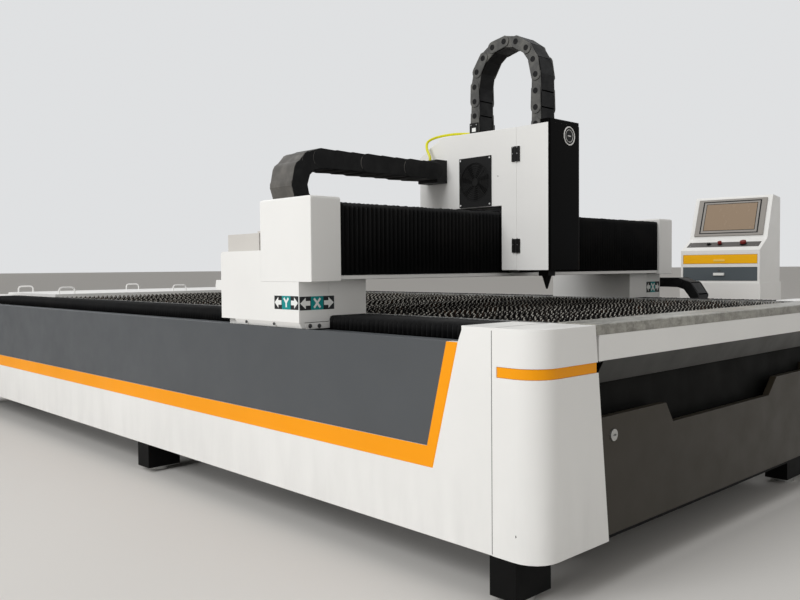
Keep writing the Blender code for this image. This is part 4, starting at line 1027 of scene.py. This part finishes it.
def bellows():
    """Folded covers beside the slats and along the beam."""
    hill = [(0.146, 0.766), (0.146, 0.805), (0.150, 0.814), (0.160, 0.8175), (0.329, 0.8175)]
    valley = [(0.157, 0.766), (0.157, 0.795), (0.160, 0.801), (0.168, 0.8045), (0.329, 0.8045)]
    for side in ("left", "right"):
        sections = []
        for section in (hill, valley):
            sections.append([(x if side == "left" else BED_W - x, z) for x, z in section])
        for end, first, last, folds in (("front", 0.3155, 1.110, 33), ("rear", 5.0845, 1.663, 142)):
            node, seed = f"y_bellows_{side}_{end}", folds + len(side)
            travel = (at(0, first, 0.8), at(0, last, 0.8))
            folded_cloth(
                node, ("bed", "gantry"), *sections, "y", (first, last), folds, travel, seed
            )
    hill = [(1.046, 0.975), (1.046, 1.240), (1.049, 1.2515), (1.060, 1.2545), (1.335, 1.2545)]
    valley = [(1.064, 0.975), (1.064, 1.222), (1.067, 1.231), (1.076, 1.234), (1.335, 1.234)]
    for side, first, last, folds in (("left", 0.147, 1.160, 44), ("right", 2.518, 1.254, 55)):
        node, travel = f"beam_bellows_{side}", (at(first, 1.2, 1.1), at(last, 1.2, 1.1))
        folded_cloth(
            node, ("gantry", "head"), hill, valley, "x", (first, last), folds, travel, folds
        )


def slats():
    """Saw-tooth slats across the bed on their side bars, with the cross bars under the deck plates."""
    steel = bmesh.new()
    count, teeth = 66, 62
    left, right = 0.345, BED_W - 0.345
    front, rear, sheet = 0.162, 4.400, 0.003
    pitch = (right - left) / teeth
    low, root, tip = 0.745, 0.788, 0.8195
    tooth = [
        (0.0, low), (pitch, low), (pitch, root), (pitch * 0.62, tip), (pitch * 0.50, tip), (0.0, root),
    ]
    face = steel.faces.new([steel.verts.new(at(left + x, front, z)) for x, z in tooth])
    repeat_along(steel, [face, *face.edges, *face.verts], (pitch, 0, 0), teeth)
    bmesh.ops.remove_doubles(steel, verts=steel.verts, dist=0.0001)
    raise_faces(steel, steel.faces, (0, sheet, 0))
    bmesh.ops.recalc_face_normals(steel, faces=steel.faces)
    # Faces turned upwards, the cut edges of the teeth, take the cut-edge finish with its painted shade
    # and painted highlight.
    for face in steel.faces:
        if face.normal.z > 0.2:
            face.material_index = 3
    gap = (rear - front - sheet) / (count - 1)
    repeat_along(steel, [*steel.faces, *steel.edges, *steel.verts], (0, gap, 0), count)
    worn = random.Random(5)
    lean = [worn.uniform(-0.07, 0.07) for _ in range(count)]
    slide = [worn.uniform(-0.010, 0.010) for _ in range(count)]
    foot = at(0, front, low)
    for vert in steel.verts:
        row = min(count - 1, max(0, round((vert.co.y - foot.y) / gap)))
        vert.co.y += lean[row] * (vert.co.z - foot.z)
        if left + 0.03 < vert.co.x - CORNER.x < right - 0.03:
            vert.co.x += slide[row]
    bar_top, bar_front = 0.760, 0.150
    for near in (0.3285, BED_W - 0.3405):
        box_into(steel, (near, bar_front, 0.6405), (near + 0.012, 5.320, bar_top), 1, 0.001)
    for near in (0.3375, BED_W - 0.3405):
        box_into(steel, (near, bar_front, 0.755), (near + sheet, rear, 0.8190), 2)
    box_into(steel, (0.333, 0.165, 0.655), (BED_W - 0.333, 0.169, 0.752), 1)
    for y in (4.440, 5.270):
        box_into(steel, (0.3305, y, 0.700), (BED_W - 0.3305, y + 0.030, bar_top), 1, 0.001)
    piece = finish_piece("slat_rows", steel, [SLATS, FRAME_BLACK, STEEL, CUT_EDGE], 30.0)
    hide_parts("slat_bed")
    slot_of("slat_bed")
    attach(piece, node_body("slat_bed"))


def plate_into(body_mesh, start, end, radius, low, high):
    """Add a round-ended plate between two points of the local XY plane."""
    ring = bmesh.ops.create_circle(body_mesh, cap_ends=True, segments=14, radius=radius)["verts"]
    middle = 0.0001
    for vert in ring:
        vert.co += Vector(end if vert.co.x > middle else start)
        vert.co.z = low
    verts = ring + raise_faces(body_mesh, ring[0].link_faces, (0, 0, high - low))
    faces = {near for vert in verts for near in vert.link_faces}
    bmesh.ops.recalc_face_normals(body_mesh, faces=list(faces))
    edges = [edge for edge in body_mesh.edges if edge.verts[0] in verts and edge.is_manifold]
    rim_angle = 1.2
    rim = [edge for edge in edges if edge.calc_face_angle() > rim_angle]
    round_off(body_mesh, rim, radius * 0.035, 1)


def tube_link(thick, width, pitch, level):
    """One link of a closed chain along local X: a round-ended block, slimmer at each level."""
    link = bmesh.new()
    half = width / 2 - 0.0007 * level
    plate_into(link, (0, 0, 0), (pitch, 0, 0), thick / 2 - 0.0006 * level, -half, half)
    return link


def chain_link(thick, width, pitch, level):
    """One link along local X: two round-ended side plates with pins, and the lids between them."""
    link = bmesh.new()
    outer = level == 0
    plate = width * 0.045
    step = 0.0 if outer else plate
    radius = thick / 2 * (0.985 if outer else 0.94)
    for side in (-1, 1):
        face = side * (width / 2 - step)
        low, high = sorted((face, face - side * plate))
        plate_into(link, (0, 0, 0), (pitch, 0, 0), radius, low, high)
        if outer:
            for along in (0.0, pitch):
                centre = (along, 0, side * width / 2)
                rod_into(link, centre, UPWARDS, thick * 0.24, 0.0016, 1, 12, thick * 0.20, spot=local)
    inner = width / 2 - plate * 2.1
    lid = thick * 0.08
    for face in (-1, 1):
        low, high = sorted((face * thick * 0.470, face * (thick * 0.470 - lid)))
        corners = (-pitch * 0.06, low, -inner), (pitch * 1.06, high, inner)
        box_into(link, *corners, 1, lid * 0.3, local, 1)
    return link


def energy_chain(
    node, joints, axis, low, high, thick, first=0, closed=False, bodies=None, travel=None
):
    """Links between the joints of a path, as one piece that stands for a chain's node."""
    make, levels = (tube_link, 3) if closed else (chain_link, 2)
    if axis == "x":
        stand = Matrix(((0, 0, 1, 0), (1, 0, 0, 0), (0, 1, 0, 0), (0, 0, 0, 1)))
        place = at((low + high) / 2, 0, 0)
    else:
        stand = Matrix(((1, 0, 0, 0), (0, 0, -1, 0), (0, 1, 0, 0), (0, 0, 0, 1)))
        place = at(0, (low + high) / 2, 0)
    chain = bmesh.new()
    for number, (start, end) in enumerate(zip(joints, joints[1:])):
        along = end - start
        link = make(thick, high - low, along.length, (number + first) % levels)
        turn = Matrix.Rotation(math.atan2(along.y, along.x), 4, "Z")
        bmesh.ops.transform(link, matrix=turn, verts=link.verts)
        bmesh.ops.translate(link, vec=(start.x, start.y, 0), verts=link.verts)
        bmesh.ops.transform(link, matrix=Matrix.Translation(place) @ stand, verts=link.verts)
        mesh = bpy.data.meshes.new("one_link")
        link.to_mesh(mesh)
        link.free()
        chain.from_mesh(mesh)
        bpy.data.meshes.remove(mesh)
    bmesh.ops.recalc_face_normals(chain, faces=chain.faces)
    # Faces turned to -x, towards the key lamp, take the paler nylon: painted light.
    if closed:
        for face in chain.faces:
            if face.normal.x < -0.5:
                face.material_index = 2
    # Open chains: side plates in the paler grey nylon, painted light on the sides turned to the key
    # lamp; black lids.
    finishes = [NYLON, BLACK_PLASTIC, NYLON_LIT_AND_WORN] if closed else [GREY_PLATES_LIT_AND_WORN, NYLON]
    if node.startswith("y_chain"):
        finishes = [NYLON, BLACK_PLASTIC]
    piece = finish_piece(f"{node}_links", chain, finishes, 35.0)
    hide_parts(node)
    slot_of(node)
    if bodies:
        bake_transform(piece)
    else:
        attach(piece, node_body(node))


def run_joints(start, end, pitch):
    """Joints of a straight run, at a pitch close to the chain's own."""
    start, end = Vector(start), Vector(end)
    count = max(1, round((end - start).length / pitch))
    return [start.lerp(end, number / count) for number in range(count + 1)]


def arc_joints(centre, radius, first, last, pitch):
    """Joints round a bend, from one angle in degrees to another."""
    count = max(2, round(math.radians(abs(last - first)) * radius / pitch))
    joints = []
    for number in range(count + 1):
        angle = math.radians(first + (last - first) * number / count)
        arm = Vector((radius * math.cos(angle), radius * math.sin(angle)))
        joints.append(Vector(centre) + arm)
    return joints


def chains():
    """The three energy chains: a straight run, the bend that travels, and the other run.
    """
    x_bend = (0.310, 1.348)
    radius, thick = 0.116, 0.086
    side = (1.3600, 1.5145)
    upper = run_joints((x_bend[0], x_bend[1] + radius), (1.010, x_bend[1] + radius), 0.088)
    lower = run_joints((x_bend[0], x_bend[1] - radius), (1.300, x_bend[1] - radius), 0.088)
    bend = arc_joints(x_bend, radius - 0.001, 90, 270, 0.060)
    energy_chain("x_chain_bend", bend, "y", *side, thick, 1, True)
    ends = (at(-0.40, 1.4, 1.4), at(1.02, 1.4, 1.4))
    energy_chain("x_chain_upper", upper, "y", *side, thick, 0, True, ("gantry", "head"), ends)
    ends = (at(1.30, 1.4, 1.2), at(-0.68, 1.4, 1.2))
    energy_chain("x_chain_lower", lower, "y", *side, thick, 1, True, ("gantry", "head"), ends)

    z_bend = (1.060, 1.860)
    radius, thick = 0.1805, 0.0555
    side = (1.1475, 1.2615)
    rear = run_joints((z_bend[0] + radius, 1.655), (z_bend[0] + radius, 1.860), 0.072)
    front = run_joints((z_bend[0] - radius, 1.420), (z_bend[0] - radius, 1.860), 0.074)
    bend = arc_joints(z_bend, radius - 0.0005, 0, 180, 0.0725)
    energy_chain("z_chain_bend", bend, "x", *side, thick, 1)
    ends = (at(1.2, 1.2, 1.6405), at(1.2, 1.2, 2.0795))
    energy_chain("z_chain_rear", rear, "x", *side, thick, 0, False, ("head", "lift"), ends)
    ends = (at(1.2, 0.9, 2.32), at(1.2, 0.9, 1.40))
    energy_chain("z_chain_front", front, "x", *side, thick, 0, False, ("head", "lift"), ends)

    y_bend = (1.020, 0.790)
    radius, thick = 0.110, 0.058
    side = (2.7005, 2.8295)
    upper = run_joints((y_bend[0], y_bend[1] + radius), (1.495, y_bend[1] + radius), 0.096)
    lower = run_joints((y_bend[0], y_bend[1] - radius), (2.695, y_bend[1] - radius), 0.096)
    bend = arc_joints(y_bend, radius - 0.0005, 90, 270, 0.070)
    energy_chain("y_chain_bend", bend, "x", *side, thick, 1)
    ends = (at(2.7, 0.54, 0.9), at(2.7, 1.50, 0.9))
    energy_chain("y_chain_upper", upper, "x", *side, thick, 0, False, ("bed", "gantry"), ends)
    ends = (at(2.7, 3.50, 0.7), at(2.7, -1.46, 0.7))
    energy_chain("y_chain_lower", lower, "x", *side, thick, 1, False, ("bed", "gantry"), ends)


pale_floor()
background()
soft_lamps()
photo_camera()
bed_finishes()
gantry_finishes()
head_finishes()
console_finishes()
bellows()
slats()
chains()
seams_and_screws()
axis_plates()
fan_guard()
head_emblem()
chain_ends()
console_fittings()
